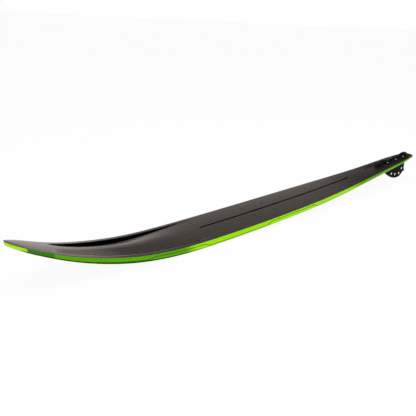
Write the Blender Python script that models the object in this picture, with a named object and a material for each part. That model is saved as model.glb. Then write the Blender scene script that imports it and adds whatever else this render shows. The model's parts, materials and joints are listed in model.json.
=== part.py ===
"""A slalom water ski with an adjustable fin box, as separate pieces.

Metres, +Z up. The ski frame has X from the tail to the tip, +Y to the ski's left and
Z = 0 at the base under the rider. The box frame lies on the flat seat behind the rider.
"""

import math

import bmesh
import bpy
import numpy
from mathutils import Vector

# Ski: length, and shapes read at shares of the length from the tail
SKI_LENGTH = 1.708
HALF_WIDTHS = (
    (0.00, 0.0245), (0.03, 0.0325), (0.06, 0.0389), (0.12, 0.0464), (0.20, 0.0552),
    (0.30, 0.0690), (0.42, 0.0812), (0.55, 0.0867), (0.65, 0.0880), (0.75, 0.0852),
    (0.83, 0.0750), (0.89, 0.0607), (0.95, 0.0404), (1.00, 0.0250),
)
ROCKER = (
    (0.00, 0.0238), (0.08, 0.0163), (0.18, 0.0075), (0.28, 0.0023), (0.41, 0.0000),
    (0.53, 0.0024), (0.65, 0.0082), (0.735, 0.0160), (0.82, 0.0352), (0.88, 0.0630),
    (0.94, 0.1050), (1.00, 0.1640),
)
THICKNESS = (
    (0.00, 0.0098), (0.10, 0.0122), (0.20, 0.0150), (0.30, 0.0168), (0.45, 0.0192),
    (0.60, 0.0206), (0.70, 0.0210), (0.80, 0.0202), (0.88, 0.0180), (0.95, 0.0138),
    (1.00, 0.0096),
)
TUNNEL_DEPTHS = ((0.00, 0.0008), (0.15, 0.0020), (0.45, 0.0035), (0.75, 0.0030), (1.00, 0.0004))
TAIL_ROUNDING = 0.012
TIP_ROUNDING = 0.055
LAST_ROUNDING_ANGLE = math.radians(80)

# Ski: section
EDGE_BEVEL_SHARE = 0.35
DECK_INSET_SHARE = 0.32
DECK_CROWN = 0.0025
DECK_SKIN = 0.0030
BASE_SKIN = 0.0020
SIDE_WALL = 0.0060
CAVITY_START = 0.010
CAVITY_RAMP = 0.016
CORE_START_SHARE = 0.6
WALL_DRAFT = 0.001
RAIL_FLAT_SHARE = 0.25
TUNNEL_BREAK_SHARE = 0.6
RIM_WIDTH = 0.013
LEAST_RIM_SHARE = 0.6

# Ski: hollows of the forebody and the groove along the deck
CUP_REAR = 1.126
CUP_DEEPEST = 1.466
CUP_FRONT = 1.611
CUP_DEPTH = 0.0078
CUP_WALL_RUN = 2.0
CUP_WALL_LEAST = 0.003
CUP_WALL_HOLLOW = 0.62
CUP_FALL = 1.3
CREST_HALF_WIDTH = 0.004
GROOVE_REAR = 0.432
GROOVE_FRONT = 1.142
GROOVE_DEPTH = 0.0016
GROOVE_HALF_WIDTH = 0.003
GROOVE_RUN_OUT = 0.020
CROWN_RUN_IN = 0.160
NOTCH_REACH = 0.048
NOTCH_SIDE = 0.0187
NOTCH_WIDE = 0.0022
NOTCH_NARROW = 0.0006
NOTCH_SETBACK = 0.0012

# Clearances
GAP = 0.0003
CORE_GAP = 0.0004
RUNNING_GAP = 0.0003
SCREW_CLEARANCE = 0.0004
GASKET_HOLE_CLEARANCE = 0.0008
SLOT_CLEARANCE = 0.0011
SLOT_END_CLEARANCE = 0.001

# Fin: its outline is read at shares of its length and of its depth under the base
FIN_THICKNESS = 0.0018
FIN_EDGE_BEVEL = 0.0004
FIN_LENGTH = 0.170
FIN_DEPTH = 0.0805
FIN_REAR = 0.0275
FIN_HEEL_TOP = 0.635
FIN_SWEEP = (
    (-0.050, 0.757), (0.030, 0.800), (0.122, 0.945), (0.245, 1.000), (0.412, 0.955),
    (0.585, 0.810), (0.717, 0.648), (0.848, 0.445), (0.941, 0.240),
)
FIN_HOLE_RADIUS = 0.0053
FIN_HOLES = ((0.096, 0.578), (0.198, 0.805), (0.375, 0.768), (0.540, 0.648))
FIN_TAB_TOP = 0.0088
FIN_TAB_OVERHANG = 0.0105
FIN_CREST_TOP = 0.0124
FIN_CREST_SETBACK = 0.022
FIN_CREST_RAMP = 0.004
FIN_SHOULDER_GAP = 0.0007

# Fin box, on the seat: X from the tail, Z up from the deck
LENGTH_TRAVEL = 0.004
DEPTH_TRAVEL = 0.002
SEAT_MARGIN = 0.0065
GASKET_THICKNESS = 0.0010
GASKET_MARGIN = 0.0025
GASKET_REAR_MARGIN = 0.006
GASKET_SIDE_MARGIN = 0.0012
GASKET_CORNER = 0.010
RAIL_OVERHANG = 0.003
RAIL_WALL = 0.0037
RAIL_FOOT_THICKNESS = 0.0050
RAIL_HALF_WIDTH = 0.0178
RAIL_TOP = 0.0130
RAIL_LOW_TOP = 0.0109
RAIL_STEP_CLEARANCE = 0.003
RAIL_BEVEL = 0.0005
MOUNT_SCREW_SIDE = 0.0122
RAIL_SCREW_SHARES = (0.25, 0.58, 0.955)
CLAMP_SCREW_SPACING = 0.012
CLAMP_SCREW_HEIGHT = 0.0090
CLAMP_SCREW_RADIUS = 0.0020
CLAMP_SCREW_POINT = 0.0005
CLAMP_SOCKET_SHARE = 0.5

# Saddles that carry the fin along the rails
CHEEK_THICKNESS = 0.0025
PLATE_THICKNESS = 0.0025
SADDLE_LENGTH = 0.030
LUG_LENGTH = 0.0088
LUG_CLEARANCE = 0.0006
REAR_DEPTH_SCREW_INSET = 0.019
FRONT_DEPTH_SCREW_INSET = 0.024
DEPTH_SCREW_RADIUS = 0.0020
DEPTH_SCREW_END = 0.0022
DEPTH_HEAD_RADIUS = 0.0036
DEPTH_HEAD_HEIGHT = 0.0024
NUT_LENGTH = 0.0080
NUT_HALF_WIDTH = 0.0032
NUT_LOW = 0.0044
NUT_HEIGHT = 0.0032

# Bracket and screw that set the fin's place along the ski
BRACKET_LENGTH = 0.0268
BRACKET_FLANGE_HALF_WIDTH = 0.0178
BRACKET_BOSS_HALF_WIDTH = 0.0077
BRACKET_TOP = 0.0118
BRACKET_FLANGE_THICKNESS = 0.0050
BRACKET_CORNER = 0.009
LENGTH_SCREW_HEIGHT = 0.0066
LENGTH_SCREW_RADIUS = 0.0020
LENGTH_SCREW_ENGAGEMENT = 0.0078
LENGTH_HEAD_RADIUS = 0.0036
LENGTH_HEAD_HEIGHT = 0.0032
CLIP_THICKNESS = 0.0007
CLIP_RADIUS = 0.0038
CLIP_GROOVE_DEPTH = 0.0006

# Screws and inserts that hold the box and the bindings
MOUNT_SCREW_RADIUS = 0.0024
MOUNT_HEAD_RADIUS = 0.0040
MOUNT_HEAD_HEIGHT = 0.0026
SOCKET_DEPTH = 0.0013
SOCKET_SHARE = 0.45
HEAD_EDGE_SHARE = 0.45
HEAD_CROWN_SHARE = 0.8
BOX_INSERT_LENGTH = 0.0055
INSERT_RADIUS = 0.0045
INSERT_BORE = 0.0028
INSERT_FLOOR = 0.0012
INSERT_RECESS = 0.0004
BINDING_INSERT_LENGTH = 0.0100
FRONT_BINDING_CENTRE = 0.866
REAR_BINDING_CENTRE = 0.556
BINDING_SPACING = 0.090
FRONT_BINDING_SIDE = 0.032
REAR_BINDING_SIDE = 0.028

# Cutters reach past what they cut
CUT_PAST = 0.005
CUT_DEEP = 0.040

# Facets
MID_STATION_STEP = 0.060
TIP_STATION_STEP = 0.030
ROUNDING_STEPS = 6
ROUND_SIDES = 12
INSERT_SIDES = 10
HOLE_SIDES = 16
SWEEP_STEPS = 30
LEAST_STATION_STEP = 0.0015
SAME_STATION = 0.000001
HOLLOW_SHARES = (0.0, 0.35, 0.7, 1.0)

# Rest on a floor, on the fin and the forebody
MOST_RESTING_TURN = math.radians(15)
RESTING_TRIES = 60

# Levels and places that follow from the sizes above
CORE_START = CAVITY_START + CORE_START_SHARE * CAVITY_RAMP
GASKET_TOP = GAP + GASKET_THICKNESS
BOX_FLOOR = GASKET_TOP + GAP
FOOT_TOP = BOX_FLOOR + RAIL_FOOT_THICKNESS
RAIL_INNER = FIN_THICKNESS / 2 + RUNNING_GAP
RAIL_WALL_OUTER = RAIL_INNER + RAIL_WALL
SADDLE_INNER = RAIL_WALL_OUTER + RUNNING_GAP
SADDLE_HALF_WIDTH = SADDLE_INNER + CHEEK_THICKNESS
CHEEK_LOW = FOOT_TOP + RUNNING_GAP
REAR_DEPTH_SCREW_STATION = FIN_REAR + REAR_DEPTH_SCREW_INSET
FRONT_DEPTH_SCREW_STATION = FIN_REAR + FIN_LENGTH - FRONT_DEPTH_SCREW_INSET
REAR_SADDLE_REAR = REAR_DEPTH_SCREW_STATION - SADDLE_LENGTH / 2
REAR_SADDLE_FRONT = REAR_DEPTH_SCREW_STATION + SADDLE_LENGTH / 2
FRONT_SADDLE_REAR = FRONT_DEPTH_SCREW_STATION - SADDLE_LENGTH / 2
FRONT_SADDLE_CHEEK_FRONT = FRONT_DEPTH_SCREW_STATION + SADDLE_LENGTH / 2
FIN_TAB_REAR = REAR_DEPTH_SCREW_STATION - FIN_TAB_OVERHANG
FIN_TAB_FRONT = FRONT_DEPTH_SCREW_STATION + FIN_TAB_OVERHANG
RAIL_REAR = REAR_SADDLE_REAR - RAIL_OVERHANG
RAIL_FRONT = FRONT_SADDLE_CHEEK_FRONT + RAIL_OVERHANG
RAIL_STEP = FRONT_SADDLE_REAR - LENGTH_TRAVEL - RAIL_STEP_CLEARANCE
LUG_REAR = RAIL_FRONT + LENGTH_TRAVEL + LUG_CLEARANCE
LUG_FRONT = LUG_REAR + LUG_LENGTH
CLIP_REAR = LUG_FRONT + LENGTH_TRAVEL + LUG_CLEARANCE
BRACKET_REAR = CLIP_REAR + CLIP_THICKNESS + LUG_CLEARANCE
BRACKET_FRONT = BRACKET_REAR + BRACKET_LENGTH
GASKET_FRONT = BRACKET_FRONT + GASKET_MARGIN
GASKET_REAR = RAIL_REAR - GASKET_REAR_MARGIN
SEAT_END = GASKET_FRONT + SEAT_MARGIN
NOTCH_REAR = GASKET_FRONT + NOTCH_SETBACK
NOTCH_FRONT = SEAT_END + NOTCH_REACH
RAIL_SCREW_STATIONS = [
    RAIL_REAR + share * (RAIL_FRONT - RAIL_REAR) for share in RAIL_SCREW_SHARES
]
BRACKET_SCREW_STATION = (BRACKET_REAR + BRACKET_FRONT) / 2
MOUNT_STATIONS = (*RAIL_SCREW_STATIONS, BRACKET_SCREW_STATION)
CLAMP_STATIONS = [
    RAIL_SCREW_STATIONS[1] + turn * CLAMP_SCREW_SPACING for turn in (-2, -1, 1, 2)
]
BINDING_PLACES = [
    (centre + row * BINDING_SPACING, side)
    for centre, side in (
        (FRONT_BINDING_CENTRE, FRONT_BINDING_SIDE),
        (REAR_BINDING_CENTRE, REAR_BINDING_SIDE),
    )
    for row in (-1, 0, 1)
]

FINISHES = {
    "deck laminate": ((0.060, 0.052, 0.048), 0.42, 0.0),
    "green base": ((0.300, 0.640, 0.000), 0.28, 0.0),
    "foam": ((0.620, 0.560, 0.420), 0.85, 0.0),
    "black metal": ((0.010, 0.010, 0.011), 0.38, 0.6),
    "bright steel": ((0.560, 0.550, 0.530), 0.28, 1.0),
    "black rubber": ((0.012, 0.012, 0.012), 0.80, 0.0),
    "dark brass": ((0.050, 0.045, 0.040), 0.50, 0.8),
}


def clear_scene():
    """Removes every object, so that only the ski is left."""
    for thing in list(bpy.data.objects):
        bpy.data.objects.remove(thing, do_unlink=True)


def finish(name):
    """The named material, made once."""
    material = bpy.data.materials.get(name)
    if material:
        return material
    colour, roughness, metallic = FINISHES[name]
    material = bpy.data.materials.new(name)
    material.use_nodes = True
    shader = material.node_tree.nodes["Principled BSDF"]
    shader.inputs["Base Color"].default_value = (*colour, 1.0)
    shader.inputs["Roughness"].default_value = roughness
    shader.inputs["Metallic"].default_value = metallic
    return material


class Spline:
    """A natural cubic curve through (x, value) points, with x times a scale."""

    def __init__(self, points, scale=1.0):
        self.x = numpy.array([x for x, _ in points]) * scale
        self.y = numpy.array([value for _, value in points])
        step = numpy.diff(self.x)
        count = len(points)
        matrix = numpy.eye(count)
        bend = numpy.zeros(count)
        for i in range(1, count - 1):
            matrix[i, i - 1] = step[i - 1]
            matrix[i, i] = 2 * (step[i - 1] + step[i])
            matrix[i, i + 1] = step[i]
            rise = (self.y[i + 1] - self.y[i]) / step[i]
            bend[i] = 6 * (rise - (self.y[i] - self.y[i - 1]) / step[i - 1])
        self.bend = numpy.linalg.solve(matrix, bend)

    def at(self, x):
        """The curve's value at x."""
        i = int(numpy.clip(numpy.searchsorted(self.x, x) - 1, 0, len(self.x) - 2))
        step = self.x[i + 1] - self.x[i]
        a = (self.x[i + 1] - x) / step
        b = 1 - a
        curved = (a**3 - a) * self.bend[i] + (b**3 - b) * self.bend[i + 1]
        return float(a * self.y[i] + b * self.y[i + 1] + curved * step**2 / 6)


half_width_curve = Spline(HALF_WIDTHS, SKI_LENGTH)
rocker_curve = Spline(ROCKER, SKI_LENGTH)
thickness_curve = Spline(THICKNESS, SKI_LENGTH)
tunnel_curve = Spline(TUNNEL_DEPTHS, SKI_LENGTH)


def smooth_step(share):
    """0 to 1 with level ends, as share goes from 0 to 1."""
    share = min(max(share, 0.0), 1.0)
    return share * share * (3 - 2 * share)


def top_curve(x):
    """Height of the deck's edge before the seat is made flat."""
    return rocker_curve.at(x) + thickness_curve.at(x)


SEAT_SLOPE = (top_curve(SEAT_END + GAP) - top_curve(SEAT_END - GAP)) / (2 * GAP)
SEAT_ANGLE = math.atan(SEAT_SLOPE)
SEAT_START_HEIGHT = top_curve(SEAT_END) - SEAT_SLOPE * SEAT_END


def deck_edge_height(x):
    """Height of the deck's edge: a straight line over the fin box's seat."""
    if x < SEAT_END:
        return SEAT_START_HEIGHT + SEAT_SLOPE * x
    return top_curve(x)


def end_share(x):
    """How much of its half width the ski keeps near its round ends."""
    share = 1.0
    if x < TAIL_ROUNDING:
        share *= rounding(TAIL_ROUNDING - x, TAIL_ROUNDING)
    if x > SKI_LENGTH - TIP_ROUNDING:
        share *= rounding(x - SKI_LENGTH + TIP_ROUNDING, TIP_ROUNDING)
    return share


def rounding(along, length):
    """Share of the half width at a place in a round end, which closes as a small flat."""
    return math.cos(math.asin(min(along / length, 1.0) * math.sin(LAST_ROUNDING_ANGLE)))


def stations():
    """Places along the ski of its sections, closer where it bends more."""
    turns = [LAST_ROUNDING_ANGLE * (1 - i / ROUNDING_STEPS) for i in range(ROUNDING_STEPS)]
    reach = [math.sin(turn) / math.sin(LAST_ROUNDING_ANGLE) for turn in turns]
    tail = [TAIL_ROUNDING * (1 - share) for share in reach]
    tip = [SKI_LENGTH - TIP_ROUNDING * (1 - share) for share in reversed(reach)]
    marks = [TAIL_ROUNDING, SEAT_END, CUP_REAR, SKI_LENGTH - TIP_ROUNDING]
    steps = [MID_STATION_STEP, MID_STATION_STEP, TIP_STATION_STEP]
    middle = []
    for start, end, step in zip(marks, marks[1:], steps):
        count = max(1, round((end - start) / step))
        middle += [start + (end - start) * i / count for i in range(count)]
    extra = [GROOVE_REAR, GROOVE_REAR + GROOVE_RUN_OUT, GROOVE_FRONT - GROOVE_RUN_OUT]
    extra += [GROOVE_FRONT, CUP_FRONT]
    for from_end in (CAVITY_START, CORE_START, CAVITY_START + CAVITY_RAMP):
        extra += [from_end, SKI_LENGTH - from_end]
    places = sorted(tail + middle + [marks[-1]] + tip + extra)
    kept = [places[0]]
    for place in places[1:]:
        if place - kept[-1] > LEAST_STATION_STEP:
            kept.append(place)
    return kept


class Section:
    """The ski's cross-section at one station: half outlines from the centre out."""

    def __init__(self, x):
        self.x = x
        self.keep = end_share(x)
        self.base = rocker_curve.at(x)
        self.edge = deck_edge_height(x)
        self.thickness = self.edge - self.base
        self.half_width = half_width_curve.at(x)
        self.deck_half = self.half_width - DECK_INSET_SHARE * self.thickness
        self.tunnel = tunnel_curve.at(x)
        self.crown = DECK_CROWN * smooth_step((x - SEAT_END) / CROWN_RUN_IN)

    def cup_depth(self):
        """Depth of the two hollows of the forebody."""
        if self.x <= CUP_DEEPEST:
            share = smooth_step((self.x - CUP_REAR) / (CUP_DEEPEST - CUP_REAR))
        else:
            share = max(0.0, 1 - ((self.x - CUP_DEEPEST) / (CUP_FRONT - CUP_DEEPEST)) ** 2)
        return CUP_DEPTH * share

    def groove(self):
        """(half width, depth) of the groove along the deck's centre."""
        inside = min(self.x - GROOVE_REAR, GROOVE_FRONT - self.x)
        return GROOVE_HALF_WIDTH, GROOVE_DEPTH * smooth_step(inside / GROOVE_RUN_OUT)

    def crowned(self, side):
        """Height of the plain crowned deck at a distance from the centre."""
        return self.edge + self.crown * (1 - (side / self.deck_half) ** 2)

    def deck_half_outline(self):
        """(side, height) points of the deck's top, from the centre to its edge."""
        cup = self.cup_depth()
        groove_half, groove_depth = self.groove()
        rim = max(self.deck_half - RIM_WIDTH, LEAST_RIM_SHARE * self.deck_half)
        low = rim - CUP_WALL_LEAST - CUP_WALL_RUN * cup
        start = CREST_HALF_WIDTH + groove_half
        points = [(0.0, self.crowned(0.0) - groove_depth), (groove_half, self.crowned(groove_half))]
        for share in HOLLOW_SHARES:
            side = start + (low - start) * share
            points.append((side, self.crowned(side) - cup * share**CUP_FALL))
        middle = (low + rim) / 2
        points.append((middle, self.crowned(middle) - CUP_WALL_HOLLOW * cup))
        points.append((rim, self.crowned(rim)))
        points.append((self.deck_half, self.edge))
        return points

    def side_at(self, drop):
        """Half width of the leaning side wall at a drop below the deck's edge."""
        return self.deck_half + DECK_INSET_SHARE / (1 - EDGE_BEVEL_SHARE) * drop

    def underside_half_outline(self):
        """(side, height) points of the deck skin's underside, from the centre out."""
        top = self.deck_half_outline()
        points = [(0.0, self.crowned(0.0) - DECK_SKIN)]
        points += [(top[i][0], top[i][1] - DECK_SKIN) for i in (4, 5, 7)]
        return points + [(self.side_at(DECK_SKIN), self.edge - DECK_SKIN)]

    def base_half_outline(self):
        """(side, height) points of the outside below the deck, from the centre up."""
        bevel = EDGE_BEVEL_SHARE * self.thickness
        rail = self.half_width - bevel
        flat = rail - RAIL_FLAT_SHARE * bevel
        points = []
        for share in (0.0, TUNNEL_BREAK_SHARE):
            points.append((flat * share, self.base + self.tunnel * (1 - share**2)))
        points += [(flat, self.base), (rail, self.base)]
        points.append((self.half_width, self.base + bevel))
        drop = DECK_SKIN + GAP
        return points + [(self.side_at(drop), self.edge - drop)]

    def cavity(self):
        """Half outlines of the floor and the roof of the room for the core."""
        from_end = min(self.x, SKI_LENGTH - self.x)
        ramp = min(max((from_end - CAVITY_START) / CAVITY_RAMP, 0.0), 1.0)
        under_sides, under_heights = zip(*self.underside_half_outline())
        base_sides, base_heights = zip(*self.base_half_outline()[:4])
        wall = base_sides[-1] - SIDE_WALL
        floor, roof = [], []
        for side in (*under_sides[:4], wall):
            roof.append((side, float(numpy.interp(side, under_sides, under_heights)) - GAP))
        for side in (0.0, TUNNEL_BREAK_SHARE * wall, wall - WALL_DRAFT):
            high = float(numpy.interp(side, under_sides, under_heights)) - GAP
            deep = float(numpy.interp(side, base_sides, base_heights)) + BASE_SKIN
            floor.append((side, high + (deep - high) * ramp))
        return floor, roof

    def deck_loop(self):
        """Closed section of the deck skin."""
        return self.placed(mirrored(self.deck_half_outline()), mirrored(self.underside_half_outline()))

    def shell_loop(self):
        """Closed section of the base and side walls, a tray open at the top."""
        floor, roof = self.cavity()
        return self.placed(mirrored(floor + roof[-1:]), mirrored(self.base_half_outline()))

    def core_loop(self):
        """Closed section of the core, which fills the tray."""
        floor, roof = self.cavity()
        top = [(side, height - CORE_GAP) for side, height in roof]
        low = [(side, height + CORE_GAP) for side, height in floor]
        top[-1] = (top[-1][0] - CORE_GAP, top[-1][1])
        low[-1] = (low[-1][0] - CORE_GAP, low[-1][1])
        return self.placed(mirrored(top), mirrored(low))

    def placed(self, top, low):
        """A closed loop of 3D points from an upper and a lower line of (side, height)."""
        flat = top + list(reversed(low))
        return [Vector((self.x, side * self.keep, height)) for side, height in flat]


def mirrored(half):
    """A full line of (side, height) points from its half on the +Y side."""
    return [(-side, height) for side, height in reversed(half[1:])] + half


def deck_height(x, side):
    """Height of the deck at a place, between its groove and its rim."""
    return Section(x).crowned(side)


def new_object(name, mesh, finish_name, parent):
    """An object made from a bmesh, with its finish, under a parent."""
    bmesh.ops.recalc_face_normals(mesh, faces=mesh.faces)
    data = bpy.data.meshes.new(name)
    mesh.to_mesh(data)
    mesh.free()
    thing = bpy.data.objects.new(name, data)
    bpy.context.scene.collection.objects.link(thing)
    thing.parent = parent
    if finish_name:
        data.materials.append(finish(finish_name))
    return thing


def shade(thing, angle=math.radians(30)):
    """Smooth shading up to an angle between faces."""
    thing.data.shade_smooth()
    thing.data.set_sharp_from_angle(angle=angle)
    return thing


def lofted(name, loops, finish_name, parent):
    """A closed body through loops of the same number of points."""
    mesh = bmesh.new()
    rings = [[mesh.verts.new(point) for point in loop] for loop in loops]
    for first, second in zip(rings, rings[1:]):
        for i in range(len(first)):
            j = (i + 1) % len(first)
            mesh.faces.new((first[i], first[j], second[j], second[i]))
    bmesh.ops.triangulate(mesh, faces=mesh.faces)
    for ring in (rings[0], rings[-1]):
        middle = sum((point.co for point in ring), Vector()) / len(ring)
        centre = mesh.verts.new(middle)
        for i in range(len(ring)):
            mesh.faces.new((ring[i], ring[(i + 1) % len(ring)], centre))
    return shade(new_object(name, mesh, finish_name, parent))


def prism(name, outline, low, high, axis, finish_name, parent):
    """A body from an outline on two axes, between two heights on the third."""
    order = {"X": (2, 0, 1), "Y": (0, 2, 1), "Z": (0, 1, 2)}[axis]
    mesh = bmesh.new()
    add_prism(mesh, outline, low, high, order)
    return new_object(name, mesh, finish_name, parent)


def add_prism(mesh, outline, low, high, order):
    """Adds a closed prism to a bmesh. order says where (a, b, height) go in X, Y, Z."""
    rings = []
    for height in (low, high):
        points = [(a, b, height) for a, b in outline]
        rings.append([mesh.verts.new([point[i] for i in order]) for point in points])
    for i in range(len(outline)):
        j = (i + 1) % len(outline)
        mesh.faces.new((rings[0][i], rings[0][j], rings[1][j], rings[1][i]))
    mesh.faces.new(list(reversed(rings[0])))
    mesh.faces.new(rings[1])


def turned(name, profile, sides, finish_name, parent):
    """A round body about local Z through (radius, height) points, closed on the axis."""
    mesh = bmesh.new()
    rings = []
    for radius, height in profile:
        count = sides if radius > 0 else 1
        turn = [2 * math.pi * i / sides for i in range(count)]
        rings.append(
            [mesh.verts.new((radius * math.cos(a), radius * math.sin(a), height)) for a in turn]
        )
    for first, second in zip(rings, rings[1:]):
        for i in range(sides):
            j = (i + 1) % sides
            corners = [first[i % len(first)], first[j % len(first)]]
            corners += [second[j % len(second)], second[i % len(second)]]
            mesh.faces.new(list(dict.fromkeys(corners)))
    if len(rings[0]) > 1:
        bridge_ends(mesh, rings)
    return shade(new_object(name, mesh, finish_name, parent))


def bridge_ends(mesh, rings):
    """Joins the last ring of a turned ring to its first."""
    sides = len(rings[0])
    for i in range(sides):
        j = (i + 1) % sides
        mesh.faces.new((rings[-1][i], rings[-1][j], rings[0][j], rings[0][i]))


def circle(radius, sides, centre=(0.0, 0.0), turn=0.0):
    """Outline points of a round hole or pin."""
    points = []
    for i in range(sides):
        angle = turn + 2 * math.pi * i / sides
        points.append((centre[0] + radius * math.cos(angle), centre[1] + radius * math.sin(angle)))
    return points


def long_hole(rear, front, half_width, steps=4):
    """Outline of a slot with round ends along X."""
    points = []
    for centre, start in ((front - half_width, -math.pi / 2), (rear + half_width, math.pi / 2)):
        for i in range(steps + 1):
            angle = start + math.pi * i / steps
            points.append((centre + half_width * math.cos(angle), half_width * math.sin(angle)))
    return points


def rectangle(low_a, high_a, low_b, high_b):
    """Outline points of a rectangle."""
    return [(low_a, low_b), (high_a, low_b), (high_a, high_b), (low_a, high_b)]


def cutter(name, prisms, parent):
    """A cutter of separate prisms, each (outline, low, high, axis)."""
    mesh = bmesh.new()
    for outline, low, high, axis in prisms:
        order = {"X": (2, 0, 1), "Y": (0, 2, 1), "Z": (0, 1, 2)}[axis]
        add_prism(mesh, outline, low, high, order)
    thing = new_object(name, mesh, None, parent)
    thing.hide_render = True
    thing.display_type = "WIRE"
    return thing


def cut(thing, tool):
    """Takes the cutter's shape out of a piece."""
    change = thing.modifiers.new("cut " + tool.name, "BOOLEAN")
    change.operation = "DIFFERENCE"
    change.object = tool
    change.solver = "EXACT"
    return thing


def bevelled(thing, width, segments=1, angle=math.radians(40)):
    """Breaks a piece's sharp edges."""
    change = thing.modifiers.new("edges", "BEVEL")
    change.width = width
    change.segments = segments
    change.limit_method = "ANGLE"
    change.angle_limit = angle
    return thing


def trimmed(thing, tool):
    """Keeps only what a piece shares with the tool."""
    cut(thing, tool).modifiers[-1].operation = "INTERSECT"
    return thing


def empty(name, parent=None, location=(0.0, 0.0, 0.0), turn=0.0):
    """A frame to build in, turned about its Y axis."""
    frame = bpy.data.objects.new(name, None)
    bpy.context.scene.collection.objects.link(frame)
    frame.parent = parent
    frame.location = location
    frame.rotation_euler = (0.0, turn, 0.0)
    return frame


def placed_at(thing, location, rotation=(0.0, 0.0, 0.0)):
    """Moves a piece to its place under its parent."""
    thing.location = location
    thing.rotation_euler = rotation
    return thing


def screw_profile(radius, length, head_radius, head_height, neck=()):
    """(radius, height) points of a button head screw, from its end to its socket."""
    socket = head_radius * SOCKET_SHARE
    points = [(0.0, -length), (radius, -length), *neck, (radius, 0.0), (head_radius, 0.0)]
    points += [(head_radius, HEAD_EDGE_SHARE * head_height)]
    points += [(HEAD_CROWN_SHARE * head_radius, head_height)]
    points += [(socket, head_height), (socket, head_height - SOCKET_DEPTH)]
    return points + [(0.0, head_height - SOCKET_DEPTH)]


def fin_slot(box):
    """Cutter of the slot that the fin passes through."""
    rear = FIN_TAB_REAR - LENGTH_TRAVEL - SLOT_END_CLEARANCE
    front = FIN_TAB_FRONT + LENGTH_TRAVEL + SLOT_END_CLEARANCE
    outline = long_hole(rear, front, FIN_THICKNESS / 2 + SLOT_CLEARANCE)
    return cutter("fin_slot", [(outline, -CUT_DEEP, BOX_FLOOR, "Z")], box)


def deck_notch(box):
    """Cutter of the narrowing notch in the deck, in front of the fin box's right side."""
    outline = [(NOTCH_REAR, -NOTCH_SIDE - NOTCH_WIDE), (NOTCH_FRONT, -NOTCH_SIDE - NOTCH_NARROW)]
    outline += [(NOTCH_FRONT, -NOTCH_SIDE + NOTCH_NARROW), (NOTCH_REAR, -NOTCH_SIDE + NOTCH_WIDE)]
    return cutter("deck_notch", [(outline, -GROOVE_DEPTH, CUT_PAST, "Z")], box)


def box_insert_pockets(box):
    """Cutter of the pockets for the inserts under the fin box."""
    prisms = []
    for x in MOUNT_STATIONS:
        for side in (-MOUNT_SCREW_SIDE, MOUNT_SCREW_SIDE):
            outline = circle(INSERT_RADIUS + GAP, INSERT_SIDES, (x, side))
            prisms.append((outline, -INSERT_RECESS - BOX_INSERT_LENGTH - GAP, CUT_PAST, "Z"))
    return cutter("box_insert_pockets", prisms, box)


def binding_insert_pockets(ski):
    """Cutter of the pockets for the inserts under the two bindings."""
    prisms = []
    for x, half in BINDING_PLACES:
        for side in (-half, half):
            top = deck_height(x, side)
            outline = circle(INSERT_RADIUS + GAP, INSERT_SIDES, (x, side))
            low = top - INSERT_RECESS - BINDING_INSERT_LENGTH - GAP
            prisms.append((outline, low, top + CUT_PAST, "Z"))
    return cutter("binding_insert_pockets", prisms, ski)


def ski_body(ski, box):
    """Deck skin, core, and the tray of base and side walls."""
    sections = [Section(x) for x in stations()]
    cored = [
        section for section in sections
        if CORE_START - SAME_STATION <= section.x <= SKI_LENGTH - CORE_START + SAME_STATION
    ]
    deck = lofted("top_deck", [s.deck_loop() for s in sections], "deck laminate", ski)
    core = lofted("foam_core", [s.core_loop() for s in cored], "foam", ski)
    shell = lofted("base_shell", [s.shell_loop() for s in sections], "green base", ski)
    slot = fin_slot(box)
    for piece in (deck, core, shell):
        cut(piece, slot)
    cut(deck, deck_notch(box))
    for pockets in (box_insert_pockets(box), binding_insert_pockets(ski)):
        cut(deck, pockets)
        cut(core, pockets)
    return shell


def insert(name, length, finish_name, parent, location):
    """A threaded insert with a blind bore, its open end at the origin."""
    profile = [(0.0, -length), (INSERT_RADIUS, -length), (INSERT_RADIUS, 0.0)]
    profile += [(INSERT_BORE, 0.0), (INSERT_BORE, INSERT_FLOOR - length)]
    profile += [(0.0, INSERT_FLOOR - length)]
    return placed_at(turned(name, profile, INSERT_SIDES, finish_name, parent), location)


def binding_inserts(ski):
    """Rows of inserts for the front and rear bindings."""
    for number, (x, half) in enumerate(BINDING_PLACES):
        area = "front" if number < 3 else "rear"
        for hand, side in (("left", half), ("right", -half)):
            height = deck_height(x, side) - INSERT_RECESS
            name = f"{area}_binding_insert_{hand}_{number % 3 + 1}"
            insert(name, BINDING_INSERT_LENGTH, "dark brass", ski, (x, side, height))


def mounting_hardware(box):
    """Screws through the rails and the bracket, and the inserts that they go into."""
    seat = FOOT_TOP + GAP
    length = seat + INSERT_RECESS + BOX_INSERT_LENGTH - INSERT_FLOOR - RUNNING_GAP
    profile = screw_profile(MOUNT_SCREW_RADIUS, length, MOUNT_HEAD_RADIUS, MOUNT_HEAD_HEIGHT)
    for number, x in enumerate(MOUNT_STATIONS, 1):
        for hand, side in (("left", MOUNT_SCREW_SIDE), ("right", -MOUNT_SCREW_SIDE)):
            name = f"box_insert_{hand}_{number}"
            insert(name, BOX_INSERT_LENGTH, "dark brass", box, (x, side, -INSERT_RECESS))
            screw = turned(f"box_screw_{hand}_{number}", profile, ROUND_SIDES, "bright steel", box)
            placed_at(screw, (x, side, seat))


def mount_holes(box, stations_used, radius):
    """Cutter of the holes for the mounting screws at the given stations."""
    prisms = []
    for x in stations_used:
        for side in (-MOUNT_SCREW_SIDE, MOUNT_SCREW_SIDE):
            prisms.append((circle(radius, ROUND_SIDES, (x, side)), 0.0, CUT_DEEP, "Z"))
    return cutter(f"mount_holes_{len(stations_used)}", prisms, box)


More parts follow.
